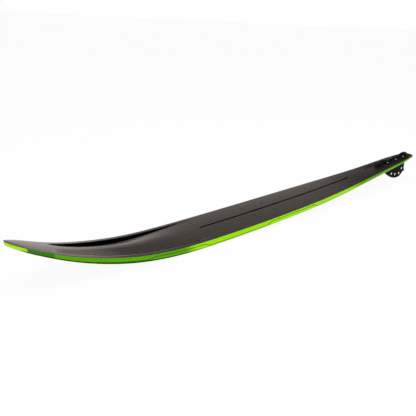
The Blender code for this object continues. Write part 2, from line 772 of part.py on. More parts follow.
def rounded_plan(rear, front, half_width, corner, steps=4):
    """Outline of a rectangle with round corners, seen from above."""
    points = []
    corners = [(front, -1, 3), (front, 1, 0), (rear, 1, 1), (rear, -1, 2)]
    for x, hand, quarter in corners:
        centre_x = x - corner if x == front else x + corner
        for i in range(steps + 1):
            angle = math.pi / 2 * (quarter + i / steps)
            side = hand * (half_width - corner) + corner * math.sin(angle)
            points.append((centre_x + corner * math.cos(angle), side))
    return points


def gasket(box, slot):
    """Rubber sheet between the fin box and the deck."""
    half = RAIL_HALF_WIDTH + GASKET_SIDE_MARGIN
    plan = rounded_plan(GASKET_REAR, GASKET_FRONT, half, GASKET_CORNER)
    sheet = prism("box_gasket", plan, GAP, GASKET_TOP, "Z", "black rubber", box)
    cut(sheet, slot)
    hole = MOUNT_SCREW_RADIUS + GASKET_HOLE_CLEARANCE
    return cut(sheet, mount_holes(box, MOUNT_STATIONS, hole))


def nut_pockets(box):
    """Cutter of the room for the depth nuts between the rails, over their whole travel."""
    reach = NUT_LENGTH / 2 + LENGTH_TRAVEL + SCREW_CLEARANCE
    half = NUT_HALF_WIDTH + SCREW_CLEARANCE
    prisms = []
    for x in (REAR_DEPTH_SCREW_STATION, FRONT_DEPTH_SCREW_STATION):
        prisms.append((rectangle(x - reach, x + reach, -half, half), 0.0, CUT_DEEP, "Z"))
    return cutter("nut_pockets", prisms, box)


def clamp_holes(box):
    """Cutter of the holes for the clamp screws, through the left rail's wall."""
    prisms = []
    for x in CLAMP_STATIONS:
        outline = circle(CLAMP_SCREW_RADIUS + GAP, ROUND_SIDES, (x, CLAMP_SCREW_HEIGHT))
        prisms.append((outline, 0.0, RAIL_WALL_OUTER + CUT_PAST, "Y"))
    return cutter("clamp_holes", prisms, box)


def rails(box):
    """The two rails that stand on the deck and clamp the fin between their walls."""
    pockets = nut_pockets(box)
    low_front = rectangle(-RAIL_HALF_WIDTH, RAIL_HALF_WIDTH, RAIL_LOW_TOP, CUT_DEEP)
    step = cutter("rail_step", [(low_front, RAIL_STEP, RAIL_FRONT + CUT_PAST, "X")], box)
    holes = mount_holes(box, RAIL_SCREW_STATIONS, MOUNT_SCREW_RADIUS + SCREW_CLEARANCE)
    for hand, sign in (("left", 1), ("right", -1)):
        outline = [(RAIL_INNER, BOX_FLOOR), (RAIL_HALF_WIDTH, BOX_FLOOR)]
        outline += [(RAIL_HALF_WIDTH, FOOT_TOP), (RAIL_WALL_OUTER, FOOT_TOP)]
        outline += [(RAIL_WALL_OUTER, RAIL_TOP), (RAIL_INNER, RAIL_TOP)]
        outline = [(sign * side, height) for side, height in outline]
        name = f"clamp_rail_{hand}"
        rail = prism(name, outline, RAIL_REAR, RAIL_FRONT, "X", "black metal", box)
        bevelled(rail, RAIL_BEVEL)
        for tool in (step, pockets, holes):
            cut(rail, tool)
        if hand == "left":
            cut(rail, clamp_holes(box))


def clamp_screws(box):
    """Set screws in the left rail that press on the fin."""
    radius, length = CLAMP_SCREW_RADIUS, RAIL_WALL
    socket = radius * CLAMP_SOCKET_SHARE
    profile = [(0.0, 0.0), (radius - CLAMP_SCREW_POINT, 0.0), (radius, CLAMP_SCREW_POINT)]
    profile += [(radius, length)]
    profile += [(socket, length), (socket, length - SOCKET_DEPTH), (0.0, length - SOCKET_DEPTH)]
    for number, x in enumerate(CLAMP_STATIONS, 1):
        screw = turned(f"clamp_screw_{number}", profile, ROUND_SIDES, "bright steel", box)
        placed_at(screw, (x, RAIL_INNER, CLAMP_SCREW_HEIGHT), (-math.pi / 2, 0.0, 0.0))


def tunnel_cutter(name, rear, front, roof, parent):
    """Cutter of a saddle's tunnel, which rides on the rails' walls."""
    outline = rectangle(-SADDLE_INNER, SADDLE_INNER, 0.0, roof)
    return cutter(name, [(outline, rear, front, "X")], parent)


def rear_saddle(carriage):
    """Saddle over the rear of the rails, which holds the rear depth screw."""
    roof = RAIL_TOP + RUNNING_GAP
    top = roof + PLATE_THICKNESS
    rear, front = REAR_SADDLE_REAR, REAR_SADDLE_FRONT
    cham = PLATE_THICKNESS
    outline = [(rear, CHEEK_LOW), (front, CHEEK_LOW), (front, top - cham), (front - cham, top)]
    outline += [(rear + cham, top), (rear, top - cham)]
    half = SADDLE_HALF_WIDTH
    saddle = prism("rear_saddle", outline, -half, half, "Y", "black metal", carriage)
    bevelled(saddle, RAIL_BEVEL)
    cut(saddle, tunnel_cutter("rear_tunnel", rear - CUT_PAST, front + CUT_PAST, roof, carriage))
    hole = circle(DEPTH_SCREW_RADIUS + SCREW_CLEARANCE, ROUND_SIDES, (REAR_DEPTH_SCREW_STATION, 0.0))
    cut(saddle, cutter("rear_saddle_hole", [(hole, roof - CUT_PAST, top + CUT_PAST, "Z")], carriage))
    return top


def front_saddle(carriage):
    """Saddle over the front of the rails, with the lug that the length screw moves."""
    roof = RAIL_LOW_TOP + RUNNING_GAP
    top = roof + PLATE_THICKNESS
    rear, front = FRONT_SADDLE_REAR, FRONT_SADDLE_CHEEK_FRONT
    cham = PLATE_THICKNESS
    outline = [(rear, CHEEK_LOW), (front, CHEEK_LOW), (front, roof), (LUG_REAR, roof)]
    outline += [(LUG_REAR, BOX_FLOOR + RUNNING_GAP), (LUG_FRONT, BOX_FLOOR + RUNNING_GAP)]
    outline += [(LUG_FRONT, top - cham / 2), (LUG_FRONT - cham / 2, top)]
    outline += [(rear + cham, top), (rear, top - cham)]
    half = SADDLE_HALF_WIDTH
    saddle = prism("front_saddle", outline, -half, half, "Y", "black metal", carriage)
    bevelled(saddle, RAIL_BEVEL)
    tunnel_front = (front + LUG_REAR) / 2
    cut(saddle, tunnel_cutter("front_tunnel", rear - CUT_PAST, tunnel_front, roof, carriage))
    radius = DEPTH_SCREW_RADIUS + SCREW_CLEARANCE
    hole = circle(radius, ROUND_SIDES, (FRONT_DEPTH_SCREW_STATION, 0.0))
    cut(saddle, cutter("front_saddle_hole", [(hole, roof - CUT_PAST, top + CUT_PAST, "Z")], carriage))
    bore = circle(LENGTH_SCREW_RADIUS + SCREW_CLEARANCE, ROUND_SIDES, (0.0, LENGTH_SCREW_HEIGHT))
    prisms = [(bore, LUG_REAR - CUT_PAST, LUG_FRONT + CUT_PAST, "X")]
    cut(saddle, cutter("lug_bore", prisms, carriage))
    return top


def depth_screws(carriage, rear_top, front_top):
    """Upright screws, held in the saddles, that raise and lower the fin by its nuts."""
    places = (
        ("rear", REAR_DEPTH_SCREW_STATION, rear_top),
        ("front", FRONT_DEPTH_SCREW_STATION, front_top),
    )
    for where, x, top in places:
        seat = top + GAP
        length = seat - DEPTH_SCREW_END
        profile = screw_profile(DEPTH_SCREW_RADIUS, length, DEPTH_HEAD_RADIUS, DEPTH_HEAD_HEIGHT)
        screw = turned(f"{where}_depth_screw", profile, ROUND_SIDES, "bright steel", carriage)
        placed_at(screw, (x, 0.0, seat))


def depth_nuts(fin):
    """Blocks in the fin's top edge that the depth screws turn in."""
    half = NUT_LENGTH / 2
    high = NUT_LOW + NUT_HEIGHT
    for where, x in (("rear", REAR_DEPTH_SCREW_STATION), ("front", FRONT_DEPTH_SCREW_STATION)):
        outline = rectangle(x - half, x + half, -NUT_HALF_WIDTH, NUT_HALF_WIDTH)
        nut = prism(f"{where}_depth_nut", outline, NUT_LOW, high, "Z", "bright steel", fin)
        hole = circle(DEPTH_SCREW_RADIUS + SCREW_CLEARANCE, ROUND_SIDES, (x, 0.0))
        cut(nut, cutter(f"{where}_nut_bore", [(hole, NUT_LOW - CUT_PAST, high + CUT_PAST, "Z")], fin))


def keyhole(x):
    """Outline of the nut's window in the fin's top edge, from front to rear."""
    window = NUT_LENGTH / 2 + GAP
    slit = DEPTH_SCREW_RADIUS + SCREW_CLEARANCE + GAP / 2
    roof, floor = NUT_LOW + NUT_HEIGHT + GAP, NUT_LOW - GAP
    bottom = DEPTH_SCREW_END - DEPTH_TRAVEL - GAP
    half = [(slit, FIN_TAB_TOP), (slit, roof), (window, roof), (window, floor), (slit, floor)]
    half += [(slit, bottom)]
    front_side = [(x + away, height) for away, height in half]
    return front_side + [(x - away, height) for away, height in reversed(half)]


def shoulder_height(x):
    """Height of the fin's shoulder under the base, clear of it at the fin's highest."""
    return -Section(x).thickness - DEPTH_TRAVEL - FIN_SHOULDER_GAP


def fin_outline():
    """Side outline of the fin, from its rear shoulder round the bottom to its top."""
    base = -Section(FIN_REAR + FIN_LENGTH / 2).thickness
    lead = (FIN_REAR + FIN_LENGTH, shoulder_height(FIN_REAR + FIN_LENGTH))
    swept = [(FIN_REAR + a * FIN_LENGTH, base - b * FIN_DEPTH) for a, b in FIN_SWEEP] + [lead]
    curve = Spline(swept)
    outline = [(FIN_TAB_REAR, FIN_TAB_TOP), (FIN_TAB_REAR, shoulder_height(FIN_TAB_REAR))]
    outline += [(FIN_REAR, shoulder_height(FIN_REAR)), (FIN_REAR, base - FIN_HEEL_TOP * FIN_DEPTH)]
    for i in range(SWEEP_STEPS + 1):
        share = (1 - math.cos(math.pi * i / SWEEP_STEPS)) / 2
        x = swept[0][0] + (lead[0] - swept[0][0]) * share
        outline.append((x, curve.at(x)))
    outline += [(FIN_TAB_FRONT, shoulder_height(FIN_TAB_FRONT)), (FIN_TAB_FRONT, FIN_TAB_TOP)]
    outline += keyhole(FRONT_DEPTH_SCREW_STATION)
    front = FRONT_DEPTH_SCREW_STATION - FIN_CREST_SETBACK
    rear = REAR_DEPTH_SCREW_STATION + FIN_CREST_SETBACK
    outline += [(front, FIN_TAB_TOP), (front - FIN_CREST_RAMP, FIN_CREST_TOP)]
    outline += [(rear + FIN_CREST_RAMP, FIN_CREST_TOP), (rear, FIN_TAB_TOP)]
    return outline + keyhole(REAR_DEPTH_SCREW_STATION), base


def fin_blade(fin):
    """The drilled blade, through the ski and up between the rails."""
    outline, base = fin_outline()
    half = FIN_THICKNESS / 2
    blade = prism("fin_blade", outline, -half, half, "Y", "black metal", fin)
    bevelled(blade, FIN_EDGE_BEVEL)
    prisms = []
    for along, deep in FIN_HOLES:
        centre = (FIN_REAR + along * FIN_LENGTH, base - deep * FIN_DEPTH)
        prisms.append((circle(FIN_HOLE_RADIUS, HOLE_SIDES, centre), -CUT_PAST, CUT_PAST, "Y"))
    return cut(blade, cutter("fin_holes", prisms, fin))


def bracket(box):
    """Block in front of the rails that holds the length screw."""
    flange, boss = BRACKET_FLANGE_HALF_WIDTH, BRACKET_BOSS_HALF_WIDTH
    flange_top = BOX_FLOOR + BRACKET_FLANGE_THICKNESS
    half = [(flange, BOX_FLOOR), (flange, flange_top), (boss, flange_top), (boss, BRACKET_TOP)]
    outline = half + [(-side, height) for side, height in reversed(half)]
    name = "length_bracket"
    block = prism(name, outline, BRACKET_REAR, BRACKET_FRONT, "X", "black metal", box)
    plan = rounded_plan(BRACKET_REAR - BRACKET_CORNER, BRACKET_FRONT, flange + GAP, BRACKET_CORNER)
    trimmed(block, cutter("bracket_plan", [(plan, 0.0, CUT_DEEP, "Z")], box))
    bevelled(block, RAIL_BEVEL)
    bore = circle(LENGTH_SCREW_RADIUS + SCREW_CLEARANCE, ROUND_SIDES, (0.0, LENGTH_SCREW_HEIGHT))
    prisms = [(bore, BRACKET_REAR - CUT_PAST, BRACKET_FRONT + CUT_PAST, "X")]
    cut(block, cutter("bracket_bore", prisms, box))
    holes = mount_holes(box, (BRACKET_SCREW_STATION,), MOUNT_SCREW_RADIUS + SCREW_CLEARANCE)
    return cut(block, holes)


def length_screw(box):
    """Screw along the ski that moves the saddles, and the clip that keeps it in place."""
    seat = BRACKET_FRONT + GAP
    length = seat - (LUG_FRONT - LENGTH_SCREW_ENGAGEMENT)
    groove = LENGTH_SCREW_RADIUS - CLIP_GROOVE_DEPTH
    rear = CLIP_REAR - GAP - seat
    front = CLIP_REAR + CLIP_THICKNESS + GAP - seat
    radius = LENGTH_SCREW_RADIUS
    neck = [(radius, rear), (groove, rear), (groove, front), (radius, front)]
    profile = screw_profile(radius, length, LENGTH_HEAD_RADIUS, LENGTH_HEAD_HEIGHT, neck)
    turn = (0.0, math.pi / 2, 0.0)
    screw = turned("length_screw", profile, ROUND_SIDES, "bright steel", box)
    placed_at(screw, (seat, 0.0, LENGTH_SCREW_HEIGHT), turn)
    hole = groove + GAP
    ring = [(hole, 0.0), (CLIP_RADIUS, 0.0), (CLIP_RADIUS, CLIP_THICKNESS)]
    ring += [(hole, CLIP_THICKNESS)]
    clip = turned("length_screw_clip", ring, ROUND_SIDES, "bright steel", box)
    placed_at(clip, (CLIP_REAR, 0.0, LENGTH_SCREW_HEIGHT), turn)


def lowest(points, turn):
    """Lowest height of (x, height) points once turned nose down by an angle."""
    return min(height * math.cos(turn) - x * math.sin(turn) for x, height in points)


def resting_turn(shell, blade):
    """Nose down angle at which the fin and the forebody touch a floor together."""
    base = [(point.co.x, point.co.z) for point in shell.data.vertices]
    bpy.context.view_layer.update()
    fin = [blade.matrix_world @ point.co for point in blade.data.vertices]
    fin = [(point.x, point.z) for point in fin]
    low, high = 0.0, MOST_RESTING_TURN
    for _ in range(RESTING_TRIES):
        turn = (low + high) / 2
        if lowest(fin, turn) < lowest(base, turn):
            low = turn
        else:
            high = turn
    return turn


def stand_on_floor(ski):
    """Moves the ski so that the origin is under the middle of it, on the floor."""
    bpy.context.view_layer.update()
    graph = bpy.context.evaluated_depsgraph_get()
    corners = []
    for thing in bpy.data.objects:
        if thing.type == "MESH" and not thing.hide_render:
            solid = thing.evaluated_get(graph)
            corners += [solid.matrix_world @ vertex.co for vertex in solid.data.vertices]
    low = Vector([min(corner[i] for corner in corners) for i in range(3)])
    high = Vector([max(corner[i] for corner in corners) for i in range(3)])
    ski.location = (-(low.x + high.x) / 2, 0.0, -low.z)


def main():
    """Builds the ski and its fin box."""
    clear_scene()
    ski = empty("ski_frame")
    box = empty("box_frame", ski, (0.0, 0.0, SEAT_START_HEIGHT), -SEAT_ANGLE)
    carriage = empty("carriage_frame", box)
    fin = empty("fin_frame", carriage)
    shell = ski_body(ski, box)
    binding_inserts(ski)
    gasket(box, bpy.data.objects["fin_slot"])
    rails(box)
    mounting_hardware(box)
    clamp_screws(box)
    rear_top = rear_saddle(carriage)
    front_top = front_saddle(carriage)
    depth_screws(carriage, rear_top, front_top)
    depth_nuts(fin)
    blade = fin_blade(fin)
    bracket(box)
    length_screw(box)
    ski.rotation_euler = (0.0, resting_turn(shell, blade), 0.0)
    stand_on_floor(ski)


main()
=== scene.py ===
"""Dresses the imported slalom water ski: skins, turned hardware, finishes, floor and light.

Metres, +Z up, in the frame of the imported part. The ski's own frame has X from the tail to
the tip, +Y to its left and Z = 0 at the base under the rider. The box frame lies on the
flat seat of the fin box.
"""

from __future__ import annotations

import json
import logging
import math
from collections.abc import Callable, Sequence
from dataclasses import dataclass, field, replace
from enum import Enum

import bmesh
import bpy
import numpy
from mathutils import Matrix, Vector
from mathutils.geometry import tessellate_polygon

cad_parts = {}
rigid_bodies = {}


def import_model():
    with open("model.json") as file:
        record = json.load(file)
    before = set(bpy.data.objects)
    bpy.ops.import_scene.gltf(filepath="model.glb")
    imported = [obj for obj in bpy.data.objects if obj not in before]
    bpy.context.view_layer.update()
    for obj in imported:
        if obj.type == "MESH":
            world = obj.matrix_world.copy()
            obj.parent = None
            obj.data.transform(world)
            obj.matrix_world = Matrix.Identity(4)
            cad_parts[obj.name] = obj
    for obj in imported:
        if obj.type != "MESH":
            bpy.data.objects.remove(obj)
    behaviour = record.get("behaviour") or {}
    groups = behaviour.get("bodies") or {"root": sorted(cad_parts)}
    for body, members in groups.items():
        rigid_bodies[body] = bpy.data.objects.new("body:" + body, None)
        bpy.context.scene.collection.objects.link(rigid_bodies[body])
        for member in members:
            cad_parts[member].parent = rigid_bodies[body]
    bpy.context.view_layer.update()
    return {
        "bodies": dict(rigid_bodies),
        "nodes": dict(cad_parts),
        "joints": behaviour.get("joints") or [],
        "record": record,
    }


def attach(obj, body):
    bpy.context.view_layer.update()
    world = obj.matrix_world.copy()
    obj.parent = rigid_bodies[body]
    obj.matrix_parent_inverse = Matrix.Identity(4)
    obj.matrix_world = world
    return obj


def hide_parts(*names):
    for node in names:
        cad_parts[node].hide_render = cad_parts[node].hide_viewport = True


LOG = logging.getLogger("ski")

MILLIMETRES = 1000

Points = Sequence[tuple[float, float]]
Span = tuple[float, float]
Triple = tuple[float, float, float]
Colour = Triple


def pitched(place: Triple, turn: float) -> Matrix:
    """A frame at a place, turned about Y."""
    return Matrix.Translation(place) @ Matrix.Rotation(turn, 4, "Y")


# The ski's frame and the fin box's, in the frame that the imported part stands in
SKI_FRAME = pitched((-0.85869706, 0.0, 0.06599109), 0.06518843)
BOX_FRAME = pitched((-0.85660809, 0.0, 0.09799100), 0.09857133)


class Axis(Enum):
    """The axis of the box frame that a turned piece lies along."""

    UP = "up"
    ALONG = "along"


class RingShape(Enum):
    """The outline of one ring of a turned piece."""

    ROUND = "round"
    HEX = "hex"


# Shader expressions


class Wire:
    """A socket of a material, on which Python's operators add Math nodes."""

    def __init__(self, graph: Graph, socket: bpy.types.NodeSocket) -> None:
        """Wraps one output socket.

        Args:
            graph: the material's graph, which makes the nodes.
            socket: the output that this value comes from.
        """
        self.graph = graph
        self.socket = socket

    def __add__(self, other: Value) -> Wire:
        """This value plus another."""
        return self.graph.maths("ADD", self, other)

    __radd__ = __add__

    def __sub__(self, other: Value) -> Wire:
        """This value less another."""
        return self.graph.maths("SUBTRACT", self, other)

    def __rsub__(self, other: Value) -> Wire:
        """Another value less this one."""
        return self.graph.maths("SUBTRACT", other, self)

    def __mul__(self, other: Value) -> Wire:
        """This value times another."""
        return self.graph.maths("MULTIPLY", self, other)

    __rmul__ = __mul__

    def __abs__(self) -> Wire:
        """This value without its sign."""
        return self.graph.maths("ABSOLUTE", self)

    def __lt__(self, other: Value) -> Wire:
        """1 where this value is the smaller one, else 0."""
        return self.graph.maths("LESS_THAN", self, other)

    def __gt__(self, other: Value) -> Wire:
        """1 where this value is the larger one, else 0."""
        return self.graph.maths("GREATER_THAN", self, other)

    def step(self, start: float, end: float) -> Wire:
        """Smooth rise from 0 to 1 as this value goes from start to end.

        Args:
            start: the value at which the rise starts.
            end: the value at which it ends, which may be the smaller one.

        Returns:
            The share of the rise.
        """
        sockets = {"Value": self, "From Min": start, "From Max": end}
        settings = {"interpolation_type": "SMOOTHSTEP"}
        return self.graph.add("ShaderNodeMapRange", settings, sockets)

    def within(self, low: float, high: float) -> Wire:
        """1 where this value is between two numbers, else 0."""
        return (self > low) * (self < high)

    def near(self, middle: Value, half: Value) -> Wire:
        """1 where this value is less than a half width away from a middle, else 0."""
        return abs(self - middle) < half


Value = Wire | float
Setting = str | float | bool


class Graph:
    """The nodes of a material or of the world, in the making."""

    def __init__(self, owner: bpy.types.Material | bpy.types.World) -> None:
        """Starts without any nodes.

        Args:
            owner: the material or the world that the nodes are for.
        """
        owner.use_nodes = True
        self.owner = owner
        self.tree = owner.node_tree
        self.tree.nodes.clear()

    def add(
        self,
        kind: str,
        settings: dict[str, Setting] | None = None,
        sockets: dict[str | int, object] | None = None,
        output: str | int = 0,
    ) -> Wire:
        """Adds one node.

        Args:
            kind: the node's type.
            settings: its own settings, such as an operation.
            sockets: values or links for its inputs, by identifier, name or number.
            output: the output to go on from, by number or by name.

        Returns:
            The chosen output.
        """
        node = self.tree.nodes.new(kind)
        for key, setting in (settings or {}).items():
            setattr(node, key, setting)
        for key, value in (sockets or {}).items():
            socket = self._socket(node.inputs, key)
            if isinstance(value, Wire):
                self.tree.links.new(value.socket, socket)
            else:
                socket.default_value = value
        return Wire(self, self._socket(node.outputs, output) if node.outputs else None)

    @staticmethod
    def _socket(
        sockets: Sequence[bpy.types.NodeSocket], key: str | int
    ) -> bpy.types.NodeSocket:
        """One of a node's sockets by its identifier, else by its name or number."""
        found = [socket for socket in sockets if socket.identifier == key]
        return found[0] if found else sockets[key]

    def maths(self, operation: str, *values: Value) -> Wire:
        """Adds a Math node.

        Args:
            operation: what the node does.
            values: its one, two or three values.

        Returns:
            The result.
        """
        return self.add("ShaderNodeMath", {"operation": operation}, dict(enumerate(values)))

    def mix(self, share: Value, low: Wire | Colour, high: Wire | Colour) -> Wire:
        """A colour between two.

        Args:
            share: 0 for the first colour, 1 for the second.
            low: the first colour.
            high: the second colour.

        Returns:
            The mixed colour.
        """
        ends = [end if isinstance(end, Wire) else (*end, 1.0) for end in (low, high)]
        sockets = {"Factor_Float": share, "A_Color": ends[0], "B_Color": ends[1]}
        return self.add("ShaderNodeMix", {"data_type": "RGBA"}, sockets, "Result_Color")

    def place(self, frame: Matrix | None = None, scale: Triple = (1.0, 1.0, 1.0)) -> Wire:
        """The point in the ski's or the fin box's frame, or the piece's own.

        Args:
            frame: the frame to read in, or None for the piece's own.
            scale: factors along the three axes.

        Returns:
            The point, as a vector.
        """
        point = self.add("ShaderNodeTexCoord", output="Object")
        if frame is not None:
            back = frame.inverted()
            moved = {"Location": back.to_translation(), "Rotation": back.to_euler()}
            settings = {"vector_type": "POINT"}
            point = self.add("ShaderNodeMapping", settings, {"Vector": point, **moved})
        return self.add("ShaderNodeMapping", None, {"Vector": point, "Scale": scale})

    def split(self, point: Wire, axis: str) -> Wire:
        """One coordinate of a point, by the name of its axis."""
        return self.add("ShaderNodeSeparateXYZ", None, {"Vector": point}, axis)

    def attribute(self, name: str) -> Wire:
        """A number that the piece's mesh keeps at each point."""
        return self.add("ShaderNodeAttribute", {"attribute_name": name}, output="Fac")

    def of_rays(self, *kinds: str) -> Wire:
        """1 for rays of some kinds, else 0.

        Args:
            kinds: the kinds, such as Camera.

        Returns:
            The mask.
        """
        found: Value = 0.0
        for kind in kinds:
            ray = self.add("ShaderNodeLightPath", output=f"Is {kind} Ray")
            found = self.maths("MAXIMUM", ray, found)
        return found

    def noise(self, point: Wire, scale: float, detail: float = 2.0, rough: float = 0.5) -> Wire:
        """Soft random values, about 0.5 on average.

        Args:
            point: where to read them.
            scale: how close together they change.
            detail: how many finer layers they have.
            rough: how strong the finer layers are.

        Returns:
            The value.
        """
        sockets = {"Vector": point, "Scale": scale, "Detail": detail, "Roughness": rough}
        return self.add("ShaderNodeTexNoise", None, sockets)

    def bump(self, height: Wire, distance: float, strength: float = 1.0) -> Wire:
        """Normals of a relief.

        Args:
            height: the relief, 0 to 1.
            distance: its depth in metres.
            strength: how much of it shows.

        Returns:
            The normal.
        """
        sockets = {"Height": height, "Distance": distance, "Strength": strength}
        return self.add("ShaderNodeBump", None, sockets)

    def shader(self, **sockets: object) -> Wire:
        """Adds a Principled shader.

        Args:
            sockets: values or links for the shader, with _ for a space in a name.

        Returns:
            The shader.
        """
        named = {key.replace("_", " "): value for key, value in sockets.items()}
        return self.add("ShaderNodeBsdfPrincipled", None, named)

    def done(self, shader: Wire) -> bpy.types.Material:
        """Ends the material with this shader."""
        self.add("ShaderNodeOutputMaterial", None, {"Surface": shader})
        return self.owner

    def finish(self, **sockets: object) -> bpy.types.Material:
        """Adds the one Principled shader of a plain material, and ends it."""
        return self.done(self.shader(**sockets))

    def blend(self, share: Value, first: Wire, second: Wire) -> bpy.types.Material:
        """Ends the material with two shaders, by the share of the second one.

        Args:
            share: 0 for the first shader, 1 for the second.
            first: the first shader.
            second: the second shader.

        Returns:
            The material.
        """
        sockets = {"Fac": share, "Shader": first, "Shader_001": second}
        return self.done(self.add("ShaderNodeMixShader", None, sockets))


# Finishes


@dataclass(frozen=True)
class GreenPaint:
    """The green of the base and the deck's lower edge, in its tones along the ski."""

    bright: Colour = (0.330, 0.740, 0.000)
    # Darker green of the forebody: partly the print's tone, partly painted shade of its side,
    # which leans down.
    middle: Colour = (0.097, 0.365, 0.000)
    dark: Colour = (0.030, 0.210, 0.000)
    tip: Colour = (0.420, 0.810, 0.000)
    tail_share: float = 0.75
    tail_change: Span = (0.50, 0.40)
    middle_change: Span = (1.225, 1.275)
    dark_change: Span = (1.612, 1.616)
    tip_change: Span = (1.667, 1.671)

    def tone(self, graph: Graph, along: Wire) -> Wire:
        """The green at each place along the ski.

        Args:
            graph: the material's graph.
            along: the place along the ski.

        Returns:
            The colour.
        """
        tone = graph.mix(along.step(*self.middle_change), self.bright, self.middle)
        tone = graph.mix(along.step(*self.tail_change) * self.tail_share, tone, self.middle)
        tone = graph.mix(along.step(*self.dark_change), tone, self.dark)
        return graph.mix(along.step(*self.tip_change), tone, self.tip)


@dataclass(frozen=True)
class DeckFinish:
    """Satin dark laminate over a fine weave; flat black as painted shade in its grooves; painted
    sheen at the tip.
    """

    colour: Colour = (0.050, 0.039, 0.033)
    dark: Colour = (0.032, 0.025, 0.022)
    # Flat black: painted shade in the groove, round the notch and at the tail, and on the
    # hollows' walls.
    black: Colour = (0.0006, 0.0006, 0.0007)
    # Painted sheen: lighter laminate towards the tip.
    pale: Colour = (0.150, 0.125, 0.108)
    # Painted shade: darker laminate towards the tail.
    deep: Colour = (0.017, 0.014, 0.012)
    seam: Colour = (0.030, 0.016, 0.034)
    green: GreenPaint = GreenPaint()
    grain_scale: Triple = (3.0, 260.0, 260.0)
    grain_contrast: Span = (0.30, 0.70)
    grain_share: float = 0.45
    cloud_scale: Triple = (2.0, 7.0, 7.0)
    cloud_share: float = 0.35
    weave: float = 450.0
    weave_share: float = 0.20
    speckle: float = 900.0
    sheen_reach: Span = (1.42, 1.56)
    sheen_share: float = 0.7
    shade_reach: Span = (0.58, 0.30)
    shade_share: float = 0.8
    seam_edge: Span = (0.03, 0.08)
    green_edge: Span = (0.24, 0.30)
    roughness: float = 0.27
    grain_roughness: float = 0.10
    cloud_roughness: float = 0.12
    relief: float = 0.00005
    relief_shares: Triple = (0.5, 0.3, 0.2)
    wall_foot: Span = (0.04, 0.12)
    wall_brim: Span = (1.0, 0.95)
    least_hollow: Span = (0.0006, 0.0012)
    # Painted shade along the deck's groove, as a flat black line past its ends.
    line_half: float = 0.0036
    line_middle: float = 0.793
    line_reach: float = 0.363
    # Painted shade round the notch, wider than the notch itself.
    notch_margin: float = 0.0012
    # Painted shade: some flat black over the tail's deck.
    black_shade_reach: Span = (0.62, 0.34)
    black_shade_share: float = 0.40
    black_roughness: float = 0.55

    def build(self, lines: SkiLines) -> bpy.types.Material:
        """Makes the material.

        Args:
            lines: the ski's lines, for the place of the notch.

        Returns:
            The material.
        """
        graph = Graph(bpy.data.materials.new("deck_laminate_satin"))
        point = graph.place(SKI_FRAME)
        along, across = graph.split(point, "X"), graph.split(point, "Y")
        grain = graph.noise(graph.place(SKI_FRAME, self.grain_scale), 1.0, detail=4.0, rough=0.6)
        cloud = graph.noise(graph.place(SKI_FRAME, self.cloud_scale), 1.0, detail=3.0)
        speckle = graph.noise(point, self.speckle)
        weave = self._weave(graph, along, across)
        shade = grain.step(*self.grain_contrast) * self.grain_share
        shade = shade + cloud * self.cloud_share + weave * self.weave_share
        base = graph.mix(shade, self.dark, self.colour)
        # Painted sheen towards the tip.
        base = graph.mix(along.step(*self.sheen_reach) * self.sheen_share, base, self.pale)
        # Painted shade towards the tail.
        base = graph.mix(along.step(*self.shade_reach) * self.shade_share, base, self.deep)
        skirt = graph.attribute("skirt")
        base = graph.mix(skirt.step(*self.seam_edge), base, self.seam)
        base = graph.mix(skirt.step(*self.green_edge), base, self.green.tone(graph, along))
        rough = self.roughness + (grain - 0.5) * self.grain_roughness
        rough = rough + (cloud - 0.5) * self.cloud_roughness
        of_grain, of_speckle, of_weave = self.relief_shares
        height = grain * of_grain + speckle * of_speckle + weave * of_weave
        normal = graph.bump(height, self.relief, strength=0.5)
        satin = graph.shader(Base_Color=base, Roughness=rough, Normal=normal)
        # Flat black without reflection: painted shade in the groove, round the notch and at the
        # tail, and on the hollows' walls.
        flat = graph.shader(
            Base_Color=(*self.black, 1.0),
            Roughness=self.black_roughness + grain * self.grain_roughness,
            Specular_IOR_Level=0.0,
        )
        return graph.blend(self._flat_black(graph, lines, along, across), satin, flat)

    def _flat_black(self, graph: Graph, lines: SkiLines, along: Wire, across: Wire) -> Wire:
        """1 on the hollows' walls, and as painted shade in the groove, round the notch and a
        little at the tail.

        Args:
            graph: the material's graph.
            lines: the ski's lines.
            along: the place along the ski.
            across: the place across it.

        Returns:
            The share of flat black.
        """
        wall = graph.attribute("wall")
        inside = wall.step(*self.wall_foot) * wall.step(*self.wall_brim)
        inside = inside * graph.attribute("hollow").step(*self.least_hollow)
        # Painted shade along the groove, past its ends.
        groove = across.near(0.0, self.line_half) * along.near(self.line_middle, self.line_reach)
        # Painted shade round the notch, wider than it.
        share = (lines.notch_front - along) * (1 / (lines.notch_front - lines.notch_rear))
        narrow = lines.notch_narrow + self.notch_margin
        half = share * (lines.notch_wide - lines.notch_narrow) + narrow
        notch = across.near(lines.notch_side, half) * share.near(0.5, 0.5)
        # Painted shade: some flat black towards the tail.
        tail = along.step(*self.black_shade_reach) * self.black_shade_share
        ink = inside
        for part in (groove, notch, tail):
            ink = graph.maths("MAXIMUM", ink, part)
        return ink

    def _weave(self, graph: Graph, along: Wire, across: Wire) -> Wire:
        """Slanted over-and-under strands of the cloth under the resin.

        Args:
            graph: the material's graph.
            along: the place along the ski.
            across: the place across it.

        Returns:
            The height of the cloth, 0 to 1.
        """
        first = graph.maths("SINE", (along + across) * self.weave)
        second = graph.maths("SINE", (along - across) * self.weave)
        return (first * second) * 0.5 + 0.5


